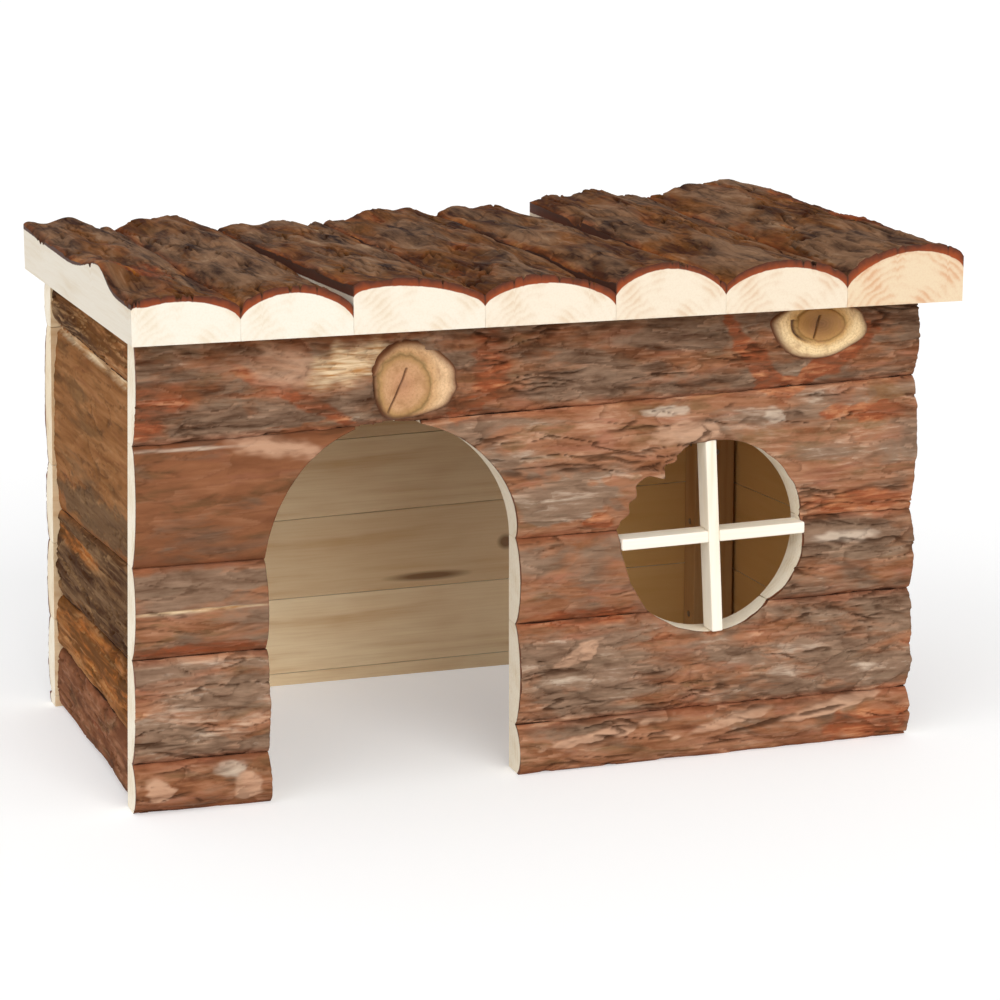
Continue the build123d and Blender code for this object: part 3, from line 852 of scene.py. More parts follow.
def pine_colour(tree, pale, ring, ringed, year_mm=2.3):
    """The colour of sawn pine: growth rings round the log's pith, and fine fibres along it."""
    pith = add(tree, "Attribute", attribute_name="pith").outputs["Vector"]
    drift = grain(tree, pith, (15, 15, 80), 3.0)
    across = add(tree, "VectorMath MULTIPLY", pith, (1, 1, 0))
    radius = add(tree, "VectorMath LENGTH", across)
    radius = add(tree, "Math MULTIPLY_ADD", drift, 9.0, radius)
    years = add(tree, "Math MULTIPLY", radius, 1 / year_mm)
    year = add(tree, "Math FRACT", years)
    late = add(tree, "MapRange", year, 0.2, 0.75, interpolation_type="SMOOTHSTEP")
    stop = add(tree, "MapRange", year, 0.75, 1.0, 1.0, 0.0)
    fibres = grain(tree, pith, (0.7, 0.7, 22), 4.0, 0.6)
    # A band of rings is strong here and nearly gone there, as the saw and the seasons left it.
    seasons = grain(tree, pith, (9, 9, 60), 3.0)
    shown = add(tree, "MapRange", seasons, 0.38, 0.66)
    amount = late
    for share in (stop, shown, ringed):
        amount = add(tree, "Math MULTIPLY", amount, share)
    blotch = add(tree, "MapRange", seasons, 0.45, 0.7, 0.0, 0.3)
    streak = add(tree, "MapRange", fibres, 0.45, 0.75, 0.0, 0.3)
    amount = add(tree, "Math ADD", amount, blotch)
    amount = add(tree, "Math ADD", amount, streak, use_clamp=True)
    return add(tree, "Mix", amount, pale, ring, data_type="RGBA"), fibres


def sawn_edge(name, pale, ring, aged, aged_ring, inner, outer, rind_mm):
    """A cut through the slab: pale pine with rings, then a band of red inner bark that darkens to the outer
    bark. Some slabs are warmer, aged heartwood. rind_mm is how far down the inner bark is dark."""
    material, tree, shader = matt_material(name, 0.7, 0.3)
    warmth, above, depth, inward = (
        add(tree, "Attribute", attribute_name=n).outputs["Fac"]
        for n in ("warmth", "above_wood", "bark_depth", "from_edge")
    )
    pale = add(tree, "Mix", warmth, colour(pale), colour(aged), data_type="RGBA")
    ring = add(tree, "Mix", warmth, colour(ring), colour(aged_ring), data_type="RGBA")
    ringed = add(tree, "MapRange", warmth, 0.0, 1.0, 0.35, 1.0)
    wood, fibres = pine_colour(tree, pale, ring, ringed)
    pith = add(tree, "Attribute", attribute_name="pith").outputs["Vector"]
    crumbs = add(tree, "TexNoise", pith, 0.45, 3.0)
    ragged = add(tree, "Math SUBTRACT", crumbs, 0.5)
    above = add(tree, "Math MULTIPLY_ADD", ragged, 0.5, above)
    depth = add(tree, "Math MULTIPLY_ADD", ragged, 2.6, depth)
    rind = wash(tree, colour(inner), colour(outer), depth, 0.0, rind_mm, 1.0, 0.0)
    # A slab's long side is weathered dark where its bark was split, unlike its freshly sawn end.
    rind = wash(tree, rind, colour("#3a1f10"), inward, 0.0, 0.5, 0.8, 0.0)
    shade = wash(tree, wood, rind, above, -0.1, 0.15)
    coat(tree, shader, shade, fibres, 0.25, 0.15)
    return material


AGED_FROM_TO = (32 * MM, 58 * MM)  # where the wood starts to look aged, and where it is aged in full


def sawn_pine(name, pale, ring, ringed, aged="#b07f48", aged_by=0.0):
    """Sawn pine with the saw's faint roughness, as on the slabs' inner faces and the laths. Towards the
    right end of the house it has aged to the colour given, by a share of aged_by."""
    material, tree, shader = matt_material(name, 0.65, 0.35)
    wood, fibres = pine_colour(tree, colour(pale), colour(ring), ringed, 3.4)
    place = add(tree, "TexCoord").outputs["Object"]
    cloud = add(tree, "TexNoise", place, 26.0, 3.0)
    wood = wash(tree, wood, colour(ring), cloud, 0.42, 0.68, 0.0, 0.4 * ringed)
    warmth = add(tree, "Attribute", attribute_name="warmth").outputs["Fac"]
    older = add(tree, "Math MULTIPLY", warmth, 0.6)
    wood = add(tree, "Mix", older, wood, colour("#b98f60"), data_type="RGBA")
    along = add(tree, "SeparateXYZ", place)
    right = add(tree, "MapRange", along, *AGED_FROM_TO, 0.0, aged_by, interpolation_type="SMOOTHSTEP")
    wood = add(tree, "Mix", right, wood, colour(aged), data_type="RGBA")
    # A dead knot and a streak of resin in the rear board, seen through the openings.
    for centre, half in (((31, 60, 47.5), (3.2, 3, 2.9)), ((0, 60, 37), (17, 3, 1.9))):
        shift = add(tree, "VectorMath SUBTRACT", place, [c * MM for c in centre])
        spread = add(tree, "VectorMath MULTIPLY", shift, [1 / (h * MM) for h in half])
        reach = add(tree, "VectorMath LENGTH", spread)
        reach = add(tree, "Math MULTIPLY_ADD", cloud, 0.8, reach)
        wood = wash(tree, wood, colour("#6b3f1a"), reach, 1.0, 1.6, 0.8, 0.0)
    coat(tree, shader, wood, fibres, 0.25, 0.12)
    return material


FINISHES = {}  # the finishes made so far


def finish(name):
    """One of the finishes, made when it is first asked for."""
    picked = bpy.context.scene.house_colours
    makers = {
        "bark_wall": lambda: bark(
            "larch_bark_air_dried",
            crevice="#3f2616", dark="#6b4028", middle="#87573a", light="#9c6c4f", flake="#c39a7d",
            grey="#88705c", rose="#a26952", olive="#745a3a",
            ember="#924a2a", blaze="#c9885c", pale="#cbb7a2",
        ),
        "bark_roof": lambda: bark(
            "larch_bark_weathered",
            crevice="#1f0d05", dark="#3f1d08", middle="#5a3412", light="#734621", flake="#94694a",
            grey="#826249", rose="#7c4122", olive="#503515",
            ember="#80340d", blaze="#b56a1e", pale="#a58a6c",
            stretch=(1.6, 1.5),
        ),
        "bark_left": lambda: bark(
            "larch_bark_planed_thin",
            crevice="#3a200c", dark="#683f18", middle="#8a5a31", light="#a27045", flake="#bf9567",
            grey="#775c40", rose="#905434", olive="#6b4e2c",
            ember="#a86026", blaze="#c48a48", pale="#c7b08c",
            stretch=(2.6, 1.3),
        ),
        "edge_wall": lambda: sawn_edge(
            "pine_slab_sawn_edge",
            picked.wall_edge, "#e0cba8", "#efd9b4", "#d8b98c", "#7c4326", "#55301c", rind_mm=1.2,
        ),
        "edge_roof": lambda: sawn_edge(
            "pine_slab_end_grain",
            picked.roof_edge, "#dccbb0", "#dcbf94", "#cf9466", picked.inner_bark, "#4a220e", rind_mm=3.2,
        ),
        "inside": lambda: sawn_pine(
            "pine_slab_sawn_inside", picked.inside, "#d3ab7c", 0.6, aged="#dba85c", aged_by=0.8
        ),
        "lath": lambda: sawn_pine("pine_lath_planed", picked.window_bars, "#ecdcc0", 0.5),
        "post": lambda: sawn_pine("pine_lath_rough", picked.posts, "#bd9160", 0.6, aged_by=0.5),
        "knot": lambda: knot_wood(
            "pine_knot_sawn_flush",
            ("#a8785a", "#bd8a62", "#c4966a", "#ae8450", "#8a6c3c", "#c99c6a", "#dfb98d"),
        ),
        "old_knot": lambda: knot_wood(
            "pine_knot_dark_resin",
            ("#6b4626", "#80592c", "#9c7038", "#ad8044", "#8a6730", "#cfa566", "#ecd09e"),
        ),
        "brad": lambda: brad_steel("steel_wire_brad", picked.brads),
    }
    if name not in FINISHES:
        FINISHES[name] = makers[name]()
    return FINISHES[name]


# ---- The pieces ----


def settle(made, body, slot, *nodes):
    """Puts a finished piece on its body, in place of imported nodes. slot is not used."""
    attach(made, body)
    if nodes:
        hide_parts(*nodes)
    return made


def dressed_slab(
    node, side, log, number, cell, bark_high, finishes, relief, holes=None, ceiling=None, marks=(), humps=()
):
    """Builds one slab with its bark relief."""
    made = slab_object(node, side, log, cell / MM, bark_high / MM, holes, ceiling, marks, humps)
    inputs = {input_name(field): value for field, value in relief._asdict().items()}
    inputs["Out"] = side.out.tolist()
    inputs["Seed"] = SEED_STEP * (number + bpy.context.scene.house_sizes.seed)
    for name, worn in zip(("Bark", "Edge", "Inside"), (*finishes, "inside")):
        inputs[name] = finish(worn)
    made_solid(made, bark_relief(), inputs)
    faces = np.empty(len(made.data.polygons), np.int32)
    made.data.attributes["finish"].data.foreach_get("value", faces)
    made.data.polygons.foreach_set("use_smooth", faces == BARK)
    return made


WALL_ROWS = {
    "front": ("1", "2_left 2_right", "3_left 3_middle 3_right", "4_left 4_right", "5_left 5_right"),
    "rear": "123456",
    "left": "12345",
    "right": "12345",
}
WALL_SLOT = {"front": "front_slab", "rear": "rear_slab", "left": "side_slab", "right": "side_slab"}
SEED_STEP = 17.3  # how far apart in the patterns the slabs' barks are taken
ROOF_NUMBER = 40  # so that no roof slab's bark is taken where a wall slab's is

# Kinds of bark, and how each slab's own bark differs.
ROUGH = PLAIN._replace(
    plate_length=40.0, plate_width=9.0, scale_length=12.0, scale_width=4.0, scale_rise=0.6
)
SMOOTH = PLAIN._replace(
    plate_length=80.0, plate_width=13.0, plate_rise=1.2, scale_rise=0.05,
    fibre_rise=0.15, crevice_depth=0.3, grit=0.05, streaks=0.3,
)
BROAD = PLAIN._replace(
    plate_length=64.0, plate_width=14.0, plate_rise=4.2, scale_length=22.0, scale_width=6.0
)
FLAKED = PLAIN._replace(plate_length=34.0, plate_width=10.0, scale_length=13.0, scale_rise=0.7)
WEATHERED = PLAIN._replace(
    plate_length=52.0, plate_width=16.0, plate_rise=3.8, scale_length=22.0, scale_width=7.0, scale_rise=0.1,
    fibre_length=22.0, fibre_width=3.6, fibre_rise=0.4,
    crevice_depth=1.6, grit=0.08, swell=0.8, streaks=1.3,
)
LONG = PLAIN._replace(
    plate_length=110.0, plate_width=8.0, plate_rise=3.0, scale_length=40.0, scale_width=5.0, scale_rise=0.2,
    fibre_length=50.0, fibre_rise=0.4, grit=0.08,
)
RELIEFS = {
    "front_slab_1": ROUGH._replace(look=(0.06, 0.8, 0.0), crevice_depth=1.4),
    "front_slab_2_left": SMOOTH._replace(look=(-0.10, 1.2, -0.045)),
    "front_slab_2_right": BROAD._replace(look=(-0.04, 0.9, 0.08)),
    "front_slab_3_left": SMOOTH._replace(look=(0.0, 1.0, 0.02), plate_rise=2.2, streaks=0.7),
    "front_slab_3_middle": SMOOTH._replace(look=(-0.02, 1.0, 0.02), plate_rise=2.2, streaks=0.7),
    "front_slab_3_right": BROAD._replace(look=(0.02, 0.9, 0.03)),
    "front_slab_4_left": FLAKED._replace(look=(0.05, 0.9, 0.06)),
    "front_slab_4_right": FLAKED._replace(look=(0.06, 0.9, 0.05)),
    "front_slab_5_left": BROAD._replace(look=(-0.16, 1.7, 0.0)),
    "front_slab_5_right": BROAD._replace(look=(-0.03, 1.0, 0.03), crevice_depth=1.6),
    "rear_slab_2": PLAIN._replace(warmth=0.6),
    "rear_slab_3": PLAIN._replace(warmth=0.2),
    "rear_slab_4": PLAIN._replace(warmth=0.5),
    "left_slab_1": LONG._replace(look=(0.0, 0.9, -0.12), crevice_depth=1.8, streaks=2.4),
    "left_slab_2": LONG._replace(look=(-0.12, 0.6, 0.0), plate_rise=1.2, crevice_depth=0.3, streaks=0.6),
    "left_slab_3": LONG._replace(look=(0.25, 0.5, -0.05), streaks=1.4),
    "left_slab_4": LONG._replace(look=(-0.12, 1.4, -0.035), streaks=1.5),
    "left_slab_5": LONG._replace(look=(-0.2, 1.4, -0.05)),
}
ROOF_MARKS = (
    Mark("ember", 58, -127, 20, 9, -12, 0.6),
    Mark("grey", 52, -95, 34, 9, 0, 0.9),
    Mark("grey", 120, -112, 40, 8, 0, 0.9),
    Mark("grey", 28, 108, 26, 8, 0, 0.9),
    Mark("dark", 90, 91.8, 42, 0.9, 1, 0.8),
    Mark("dark", 78, 128, 62, 1.0, 0, 0.8),
    Mark("ember", 80, 134.5, 66, 4, 0, 0.8),
)
ROOF_WARMTH = {1: 0.0, 2: 0.0, 3: 0.1, 4: 0.2, 5: 0.3, 6: 0.35, 7: 0.7}  # by the slab's number
WALL_MARKS = {
    "front": (
        # The top slab: red inner bark beside the left knot and in a V under the right one.
        Mark("ember", 10.5, 134, 11, 5, 0, 0.9),
        Mark("ember", 6.5, 126, 7, 5, 0, 0.9),
        Mark("ember", 54.5, 132.5, 25, 2.4, -28, 0.5),
        Mark("grey", 46.5, 124, 24, 3, 8, 0.6),
        Mark("fresh", 51.5, 142, 9, 7, 0, 0.9),
        Mark("bare", 73.5, 142, 12, 5.5, 16, 0.9),
        Mark("cut", 94.5, 134.5, 17, 14, 0, 0.25),
        Mark("cut", 235.5, 146, 20, 12.5, 0, 0.25),
        Mark("ember", 119.5, 138, 6, 12, 0, 0.6),
        Mark("ember", 111.5, 125, 7, 4, 30),
        Mark("ember", 212.5, 135, 17, 4, -52),
        Mark("ember", 239.5, 133, 20, 4, 31),
        Mark("ember", 222.5, 126, 9, 3.5),
        # The second slab.
        Mark("pale", 19.5, 117.5, 17, 0.5, 0, 0.9),
        Mark("fresh", 48.5, 116.5, 16, 3, -10, 0.9),
        Mark("pale", 181.5, 119.5, 8, 1.6),
        Mark("fresh", 187.5, 112.5, 12, 3.5),
        Mark("pale", 220, 116.5, 3.6, 2.6),
        Mark("ember", 253.5, 115.5, 15, 3),
        Mark("ember", 251.5, 84, 20, 4, 0, 0.6),
        Mark("ember", 157.5, 84, 6, 3),
        Mark("grey", 145.5, 92, 16, 8, 0, 0.8),
        # The third slab.
        Mark("grey", 23.5, 74, 22, 4, 0, 0.8),
        Mark("bare", 22.5, 66, 21, 0.5, 1, 0.9),
        Mark("ember", 23.5, 52.5, 24, 2, 0, 0.8),
        Mark("ember", 151.5, 52, 21, 3, 0, 0.7),
        Mark("pale", 246.5, 73, 11, 2, 0, 0.7),
        Mark("grey", 246.5, 73, 16, 5, 0, 0.8),
        # The lowest slab.
        Mark("fresh", 158.5, 11.5, 20, 1.6, 8),
        Mark("fresh", 203.5, 11.5, 17, 1.5, 9),
        Mark("fresh", 241.5, 13, 19, 1.8, 9),
        Mark("fresh", 150.5, 40, 9, 2.4, 24),
        Mark("ember", 256.5, 6, 16, 6, 0, 0.6),
        Mark("dark", 215.5, 9.5, 13, 0.7, 10, 0.6),
        Mark("dark", 239.5, 12.5, 12, 0.6, 6, 0.6),
        Mark("fresh", 7.5, 8, 5, 3.5),
        Mark("fresh", 37.5, 7, 5, 4),
        Mark("pale", 31.5, 13, 5, 2, 0, 0.6),
    ),
    "left": (
        Mark("ember", 30, 66, 40, 2.5, 0, 0.9),
        Mark("ember", 70, 35, 60, 9, 0, 1.2),
        Mark("grey", 60, 83, 70, 7, 2.4, 1.0),
        Mark("bare", 60, 135.2, 66, 1.1, -1.4, 0.5),
    ),
}


def build_wall(side, cell, bark_high):
    """Dresses every slab of one wall."""
    for row, parts in enumerate(WALL_ROWS[side.name]):
        nodes = [f"{side.name}_slab_{part}" for part in parts.split()]
        log = Log(side, nodes)
        number = row + 3 * len(side.name)
        finishes = ("bark_left" if side is LEFT and row < 4 else "bark_wall", "edge_wall")
        holes = from_openings if side is FRONT else None
        marks = WALL_MARKS.get(side.name, ())
        for node in nodes:
            relief = RELIEFS.get(node, PLAIN)
            made = dressed_slab(
                node, side, log, number, cell, bark_high, finishes, relief, holes, marks=marks
            )
            settle(made, "house", WALL_SLOT[side.name], node)


ROOF_HUMPS = {
    1: (Hump(90, -140, 400, 3, 0, 0.7), Hump(47.5, -140, 14, 10, 6.2, 0.6, 1.9)),
    7: (Hump(60, 132, 26, 9, 1.6, 3.6),),
}


def build_roof(cell, bark_high):
    """Dresses the roof's slabs."""
    ceiling = CAD_BOX[1].z - ROOF.inside
    for number in range(1, 8):
        node = f"roof_slab_{number}"
        log = Log(ROOF, [node])
        relief = WEATHERED._replace(warmth=ROOF_WARMTH[number])
        humps = ROOF_HUMPS.get(number, ())
        made = dressed_slab(
            node, ROOF, log, number + ROOF_NUMBER, cell, bark_high, ("bark_roof", "edge_roof"), relief,
            ceiling=ceiling, marks=ROOF_MARKS, humps=humps,
        )
        settle(made, "roof", "roof_slab", node)


# ---- Branch knots, cut flush with the bark ----


def knot(name, log, middle_mm, reach_mm, core_mm, tilt_mm, seed, wood):
    """A knot cut nearly flush: a disc of end grain in a collar of swollen wood, over the top slab's bark.
    reach_mm is how far its collar goes left, right, down and up; core_mm are the core's half sizes."""
    rings, spokes, sunk = 44, 220, 1.5 * MM
    turns = np.linspace(0, 2 * math.pi, spokes, endpoint=False)
    turn, share = np.meshgrid(turns, np.linspace(0, 1, rings + 1)[1:], indexing="ij")
    left, right, down, up = reach_mm
    wide = np.where(np.cos(turn) < 0, left, right)
    high = np.where(np.sin(turn) < 0, down, up)
    ragged = 1 + 0.035 * wobble(np.cos(turn) * 20 * MM, np.sin(turn) * 20 * MM, 16, seed)
    x = np.concatenate([[0.0], (share * wide * np.cos(turn) * ragged).ravel()])
    z = np.concatenate([[0.0], (share * high * np.sin(turn) * ragged).ravel()])
    share = np.concatenate([[0.0], share.ravel()])
    core = np.hypot(x / core_mm[0], z / core_mm[1]) * (1 + 0.03 * wobble(x * MM, z * MM, 9, seed + 1))
    # The collar follows the bark and the core is cut flatter; between them lies a seam of dark bark, with a
    # gouge to the left of it that is also painted dark as its shadow, and a check runs down the core.
    along = middle_mm[0] * MM + FRONT.begin + x * MM
    across = middle_mm[1] * MM + z * MM
    low, high = log.edges[0]
    _, bark_height = log.bark(along, np.clip((across - low) / (high - low), 0, 1))
    seam = bell(core - 1.0, 0.045) * (0.4 + 0.6 * np.clip(-x / core_mm[0], 0, 1))
    gouge_and_shadow = bell(core - 1.12, 0.07) * np.clip(-x / core_mm[0] * 1.4 - 0.3, 0, 1) * (z < 0.35 * core_mm[1])
    check = bell(x + 0.12 * core_mm[0] - 0.42 * z, 0.32) * (core < 0.9) * (z < 0.55 * core_mm[1])
    lift = 1.0 + 0.35 * wobble(x * MM, z * MM, 8, seed + 2)
    lift = lift - tilt_mm * np.clip(1 - core, 0, 1) - 0.6 * seam - 1.9 * gouge_and_shadow - 0.9 * check
    lift = lift - 2.4 * np.clip((share - 0.9) / 0.1, 0, 1) ** 2
    out = bark_height + lift * MM
    number = 1 + np.arange(spokes * rings).reshape(spokes, rings)
    after = np.roll(number, -1, 0)
    fan = np.stack([np.zeros(spokes, int), number[:, 0], after[:, 0]], 1)
    corners = (number[:, :-1], number[:, 1:], after[:, 1:], after[:, :-1])
    quads = np.stack([corner.ravel() for corner in corners], 1)
    rim, under = number[:, -1], 1 + spokes * rings + np.arange(spokes)
    walls = np.stack([rim, under, np.roll(under, -1), after[:, -1]], 1)
    x, z, along, across = (np.append(v, v[rim]) for v in (x, z, along, across))
    places = FRONT.place(along, across, np.append(out, out[rim] - sunk))
    mesh = bpy.data.meshes.new(name)
    faces = fan.tolist() + quads.tolist() + walls.tolist() + [under[::-1].tolist()]
    mesh.from_pydata(places.tolist(), [], faces)
    # The crack attribute holds the check and the gouge's painted shadow.
    crack = np.maximum(gouge_and_shadow, check * 0.8)
    for label, value, beyond in (("core", core, 3.0), ("share", share, 1.0), ("crack", crack, 0.0)):
        store(mesh, label, np.append(value, np.full(spokes, beyond)))
    store(mesh, "knot_map", np.stack([x, z, 0 * x], 1))
    mesh.polygons.foreach_set("use_smooth", [True] * (len(faces) - 1) + [False])
    mesh.materials.append(finish(wood))
    return settle(shown_as(name, mesh), "house", "front_slab")


def knot_wood(name, tones):
    """End grain of a branch: reddish heart, tan rings, a greenish-brown seam, and a pale collar of clear
    wood that darkens into the bark. tones are its colours from the heart out."""
    material, tree, shader = matt_material(name, 0.62, 0.4)
    core, share, crack = (
        add(tree, "Attribute", attribute_name=n).outputs["Fac"] for n in ("core", "share", "crack")
    )
    place = add(tree, "Attribute", attribute_name="knot_map").outputs["Vector"]
    noise = add(tree, "TexNoise", place, 0.28, 5.0, 0.6)
    shifted = add(tree, "Math MULTIPLY_ADD", noise, 0.35, core)
    ramp = add(tree, "ValToRGB", add(tree, "Math MULTIPLY", shifted, 0.5))
    stops = ramp.color_ramp.elements
    while len(stops) < len(tones):
        stops.new(0.5)
    for stop, at, code in zip(stops, (0.0, 0.2, 0.42, 0.52, 0.565, 0.63, 0.8), tones):
        stop.position = at
        stop.color = colour(code)
    waves = add(tree, "Math MULTIPLY", shifted, 42.0)
    waves = add(tree, "Math SINE", waves)
    rays = add(tree, "VectorMath MULTIPLY", place, (1.2, 1.2, 1))
    fine = add(tree, "TexNoise", rays, 1.0, 6.0, 0.7)
    feeds = {"Vector": place, "Scale": 0.22, "Detail": 3.0, "W": 4.0}
    patch = add(tree, "TexNoise", feeds, noise_dimensions="4D")
    shade = ramp
    for code, value, low, high, most in (
        ("#b07a4c", waves, 0.2, 1.0, 0.16),
        ("#8f6038", fine, 0.48, 0.7, 0.5),
        ("#9a6b3e", patch, 0.52, 0.7, 0.55),
        ("#6b3f25", share, 0.8, 0.97, 1.0),
    ):
        shade = wash(tree, shade, colour(code), value, low, high, 0.0, most)
    # The check is dark, and the gouge beside the core is darkened as painted shadow.
    shade = add(tree, "Mix", crack, shade, colour("#4a2c19"), data_type="RGBA")
    coat(tree, shader, shade, fine, 0.5, 0.2)
    return material


def build_knots():
    """The two knots in the front wall's top slab."""
    log = Log(FRONT, ["front_slab_1"])
    knot("front_knot_left", log, (89.8, 134), (10.5, 19.5, 11.7, 14.4), (9.3, 10.8), 0.6, 3, "knot")
    knot("front_knot_right", log, (235.3, 146), (18, 18, 11.6, 7.4), (9, 5.5), 0.3, 8, "old_knot")


# ---- Posts, battens, window bars and brads ----


def lath(node, body, slot, look, pith_mm, cut_mm=(0, 0, 0)):
    """A planed lath in place of a packed one, with broken edges; cut_mm is how much its far sides lose."""
    shape = bmesh.new()
    shape.from_mesh(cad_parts[node].data)
    bmesh.ops.remove_doubles(shape, verts=shape.verts, dist=NUDGE)
    bmesh.ops.dissolve_limit(shape, angle_limit=math.radians(1), verts=shape.verts, edges=shape.edges)
    low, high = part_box(node)
    for vertex in shape.verts:
        for axis in range(3):
            if cut_mm[axis] and vertex.co[axis] > high[axis] - NUDGE:
                vertex.co[axis] -= cut_mm[axis] * MM
    sharp = [edge for edge in shape.edges if edge.is_manifold and edge.calc_face_angle() > math.radians(30)]
    broken = bpy.context.scene.house_sizes.broken_edge
    bmesh.ops.bevel(shape, geom=sharp, offset=broken, segments=2, affect="EDGES", profile=0.5)
    long_axis = max(range(3), key=lambda axis: high[axis] - low[axis])
    others = [axis for axis in range(3) if axis != long_axis]
    mesh = bpy.data.meshes.new(node + "_planed")
    shape.to_mesh(mesh)
    shape.free()
    places = (np.array([v.co for v in mesh.vertices]) - (low + high) / 2) / MM
    places[:, others] += pith_mm
    places[:, long_axis] = [v.co[long_axis] / MM for v in mesh.vertices]
    store(mesh, "pith", places[:, [*others, long_axis]])
    mesh.polygons.foreach_set("use_smooth", [False] * len(mesh.polygons))
    mesh.materials.append(finish(look))
    return settle(shown_as(mesh.name, mesh), body, slot, node)


def brad_steel(name, bright):
    """Bright steel wire nails, slightly dulled."""
    material, tree, shader = matt_material(name, 0.42, 0.5)
    shader.inputs["Metallic"].default_value = 1.0
    place = add(tree, "TexCoord").outputs["Object"]
    noise = add(tree, "TexNoise", place, 1500.0, 4.0)
    shade = add(tree, "Mix", noise, colour("#8d8c88"), colour(bright), data_type="RGBA")
    coat(tree, shader, shade, noise, 0.3, 0.05)
    return material


def build_posts():
    """Corner posts in the house and battens under its roof."""
    for number, corner in enumerate(("front_left", "front_right", "rear_left", "rear_right")):
        cut = (1.2, 0, 0) if corner == "rear_right" else (0, 0, 0)
        lath("post_" + corner, "house", "post", "post", (26 + 5 * number, 9), cut)
    for number, end in enumerate(("front", "rear")):
        lath("roof_batten_" + end, "roof", "batten", "post", (8, 30 + 7 * number))


def build_bars():
    """The window's upright and crossbar."""
    lath("window_upright", "house", "window_bar", "lath", (40, 12))
    lath("window_crossbar", "house", "window_bar", "lath", (30, 14))


def finish_brads():
    """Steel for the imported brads. They keep their shape."""
    for node in ("roof_brads", "front_brads", "rear_brads", "left_brads", "right_brads"):
        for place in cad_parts[node].material_slots:
            place.material = finish("brad")


FLOOR_REACH = 30.0
LENS_MM, SENSOR_MM = 111.8, 36
# Where the camera stands, and in degrees how far it looks down and how far to the right.
CAMERA_PLACE, CAMERA_DOWN, CAMERA_TURN = (-0.33745, -1.00067, 0.3125), 12.51, 19.05
# Each light: the way to it and how high it stands, its strength, and how wide it is. Angles are in degrees.
LIGHTS = (
    ("key_light", 6, 27, 1.25, 40),
    ("low_light", 10, 7, 0.45, 50),
    ("fill_light", -62, 26, 1.05, 60),
)


def seen(tree):
    """1 for the rays that show what they meet, and 0 for those that only light the scene."""
    path = add(tree, "LightPath").outputs
    shown = path["Is Camera Ray"]
    for ray in ("Is Glossy Ray", "Is Transmission Ray"):
        shown = add(tree, "Math MAXIMUM", shown, path[ray])
    return shown


def build_stage(scene):
    """Floor, light and camera."""
    scene.view_settings.view_transform = "Standard"
    mesh = bpy.data.meshes.new("floor")
    corners = [(x * FLOOR_REACH, y * FLOOR_REACH, 0) for x, y in ((-1, -1), (1, -1), (1, 1), (-1, 1))]
    mesh.from_pydata(corners, [], [(0, 1, 2, 3)])
    material, tree, shader = matt_material("pale_studio_floor", 0.9, 0.0)
    shader.inputs["Base Color"].default_value = colour(scene.house_colours.floor)
    shader.inputs["Emission Color"].default_value = (1, 1, 1, 1)
    glow = add(tree, "Math MULTIPLY", seen(tree), 0.3)
    tree.links.new(first_output(glow), shader.inputs["Emission Strength"])
    mesh.materials.append(material)
    floor = shown_as("floor", mesh)

    world = bpy.data.worlds.new("studio")
    scene.world = world
    world.use_nodes = True
    tree = world.node_tree
    sky = tree.nodes["Background"]
    sky.inputs["Color"].default_value = (1, 1, 1, 1)
    strength = add(tree, "MapRange", seen(tree), 0.0, 1.0, 0.6, 1.0)
    tree.links.new(first_output(strength), sky.inputs["Strength"])

    for name, azimuth, elevation, strength, spread in LIGHTS:
        lamp = bpy.data.lights.new(name, "SUN")
        lamp.energy = strength
        lamp.angle = math.radians(spread)
        a, e = math.radians(azimuth), math.radians(elevation)
        towards = Vector((math.sin(a) * math.cos(e), -math.cos(a) * math.cos(e), math.sin(e)))
        shown_as(name, lamp).rotation_euler = towards.to_track_quat("Z", "Y").to_euler()

    camera = bpy.data.cameras.new("camera")
    camera.sensor_width = SENSOR_MM
    camera.lens = LENS_MM
    scene.camera = shown_as("camera", camera)
    scene.camera.location = CAMERA_PLACE
    scene.camera.rotation_euler = (math.radians(90 - CAMERA_DOWN), 0, -math.radians(CAMERA_TURN))


# ---- Operators, the panel, and the run ----


class DressFrontWall(bpy.types.Operator):
    """Lay bark over the front wall's slabs, round its door and window"""

    bl_idname = "hamster_house.front_wall"
    bl_label = "Front Wall"

    def execute(self, context):
        sizes = context.scene.house_sizes
        build_wall(FRONT, sizes.front_cell, sizes.wall_bark)
        return {"FINISHED"}


class DressRearWall(bpy.types.Operator):
    """Lay bark over the rear wall's slabs"""

    bl_idname = "hamster_house.rear_wall"
    bl_label = "Rear Wall"

    def execute(self, context):
        sizes = context.scene.house_sizes
        build_wall(REAR, sizes.hidden_cell, sizes.wall_bark)
        return {"FINISHED"}


class DressLeftWall(bpy.types.Operator):
    """Lay thin bark over the left wall's slabs"""

    bl_idname = "hamster_house.left_wall"
    bl_label = "Left Wall"

    def execute(self, context):
        sizes = context.scene.house_sizes
        build_wall(LEFT, sizes.side_cell, sizes.wall_bark)
        return {"FINISHED"}


class DressRightWall(bpy.types.Operator):
    """Lay bark over the right wall's slabs"""

    bl_idname = "hamster_house.right_wall"
    bl_label = "Right Wall"

    def execute(self, context):
        sizes = context.scene.house_sizes
        build_wall(RIGHT, sizes.hidden_cell, sizes.wall_bark)
        return {"FINISHED"}


class DressRoof(bpy.types.Operator):
    """Lay weathered bark over the roof's slabs"""

    bl_idname = "hamster_house.roof"
    bl_label = "Roof Slabs"

    def execute(self, context):
        sizes = context.scene.house_sizes
        build_roof(sizes.roof_cell, sizes.roof_bark)
        return {"FINISHED"}


class AddKnots(bpy.types.Operator):
    """Set two sawn branch knots into the front wall's top slab"""

    bl_idname = "hamster_house.knots"
    bl_label = "Knots"

    def execute(self, context):
        build_knots()
        return {"FINISHED"}


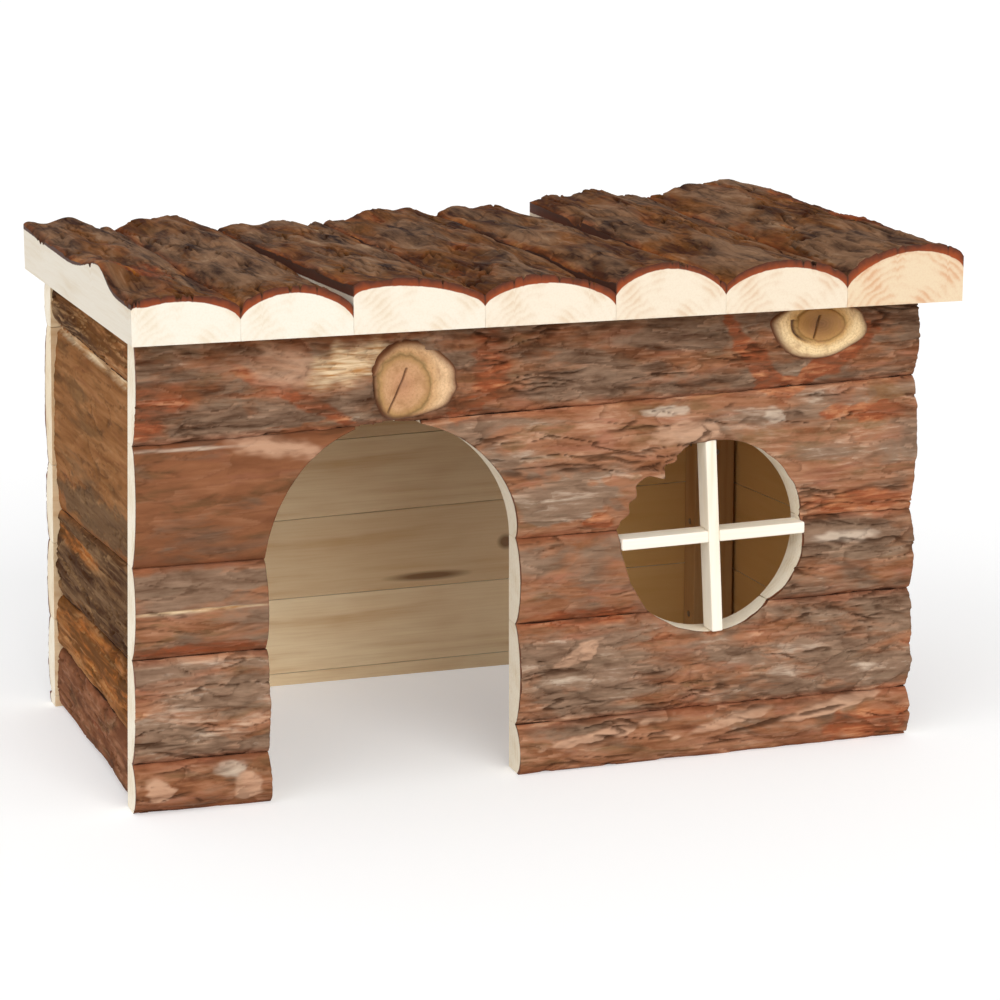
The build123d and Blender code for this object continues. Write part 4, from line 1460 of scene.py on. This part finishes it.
class PlanePosts(bpy.types.Operator):
    """Break the edges of the corner posts and the roof's battens"""

    bl_idname = "hamster_house.posts"
    bl_label = "Posts and Battens"

    def execute(self, context):
        build_posts()
        return {"FINISHED"}


class PlaneWindowBars(bpy.types.Operator):
    """Break the edges of the window's two bars"""

    bl_idname = "hamster_house.window_bars"
    bl_label = "Window Bars"

    def execute(self, context):
        build_bars()
        return {"FINISHED"}


class FinishBrads(bpy.types.Operator):
    """Give the brads their steel"""

    bl_idname = "hamster_house.brads"
    bl_label = "Brads"

    def execute(self, context):
        finish_brads()
        return {"FINISHED"}


class SetStage(bpy.types.Operator):
    """Set the pale floor, the studio light and the camera"""

    bl_idname = "hamster_house.stage"
    bl_label = "Stage"

    def execute(self, context):
        build_stage(context.scene)
        return {"FINISHED"}


OPERATORS = (
    DressFrontWall,
    DressRearWall,
    DressLeftWall,
    DressRightWall,
    DressRoof,
    AddKnots,
    PlanePosts,
    PlaneWindowBars,
    FinishBrads,
    SetStage,
)


class HousePanel(bpy.types.Panel):
    """Lists the house's sizes, colours and pieces"""

    bl_idname = "HAMSTER_HOUSE_PT_pieces"
    bl_label = "Hamster House"
    bl_space_type = "VIEW_3D"
    bl_region_type = "UI"
    bl_category = "Hamster House"

    def draw(self, context):
        column = self.layout.column()
        for group in (context.scene.house_sizes, context.scene.house_colours):
            for name in type(group).__annotations__:
                column.prop(group, name)
        for operator in OPERATORS:
            column.operator(operator.bl_idname)


CLASSES = (HouseSizes, HouseColours, *OPERATORS, HousePanel)


def register():
    """Adds the panel, the operators and the properties to Blender."""
    for made in CLASSES:
        bpy.utils.register_class(made)
    bpy.types.Scene.house_sizes = PointerProperty(type=HouseSizes)
    bpy.types.Scene.house_colours = PointerProperty(type=HouseColours)


def unregister():
    """Takes them out again."""
    del bpy.types.Scene.house_colours
    del bpy.types.Scene.house_sizes
    for made in reversed(CLASSES):
        bpy.utils.unregister_class(made)


def main():
    """Registers the add-on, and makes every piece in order."""
    register()
    for operator in OPERATORS:
        getattr(bpy.ops.hamster_house, operator.bl_idname.split(".")[1])()


if __name__ == "__main__":
    main()
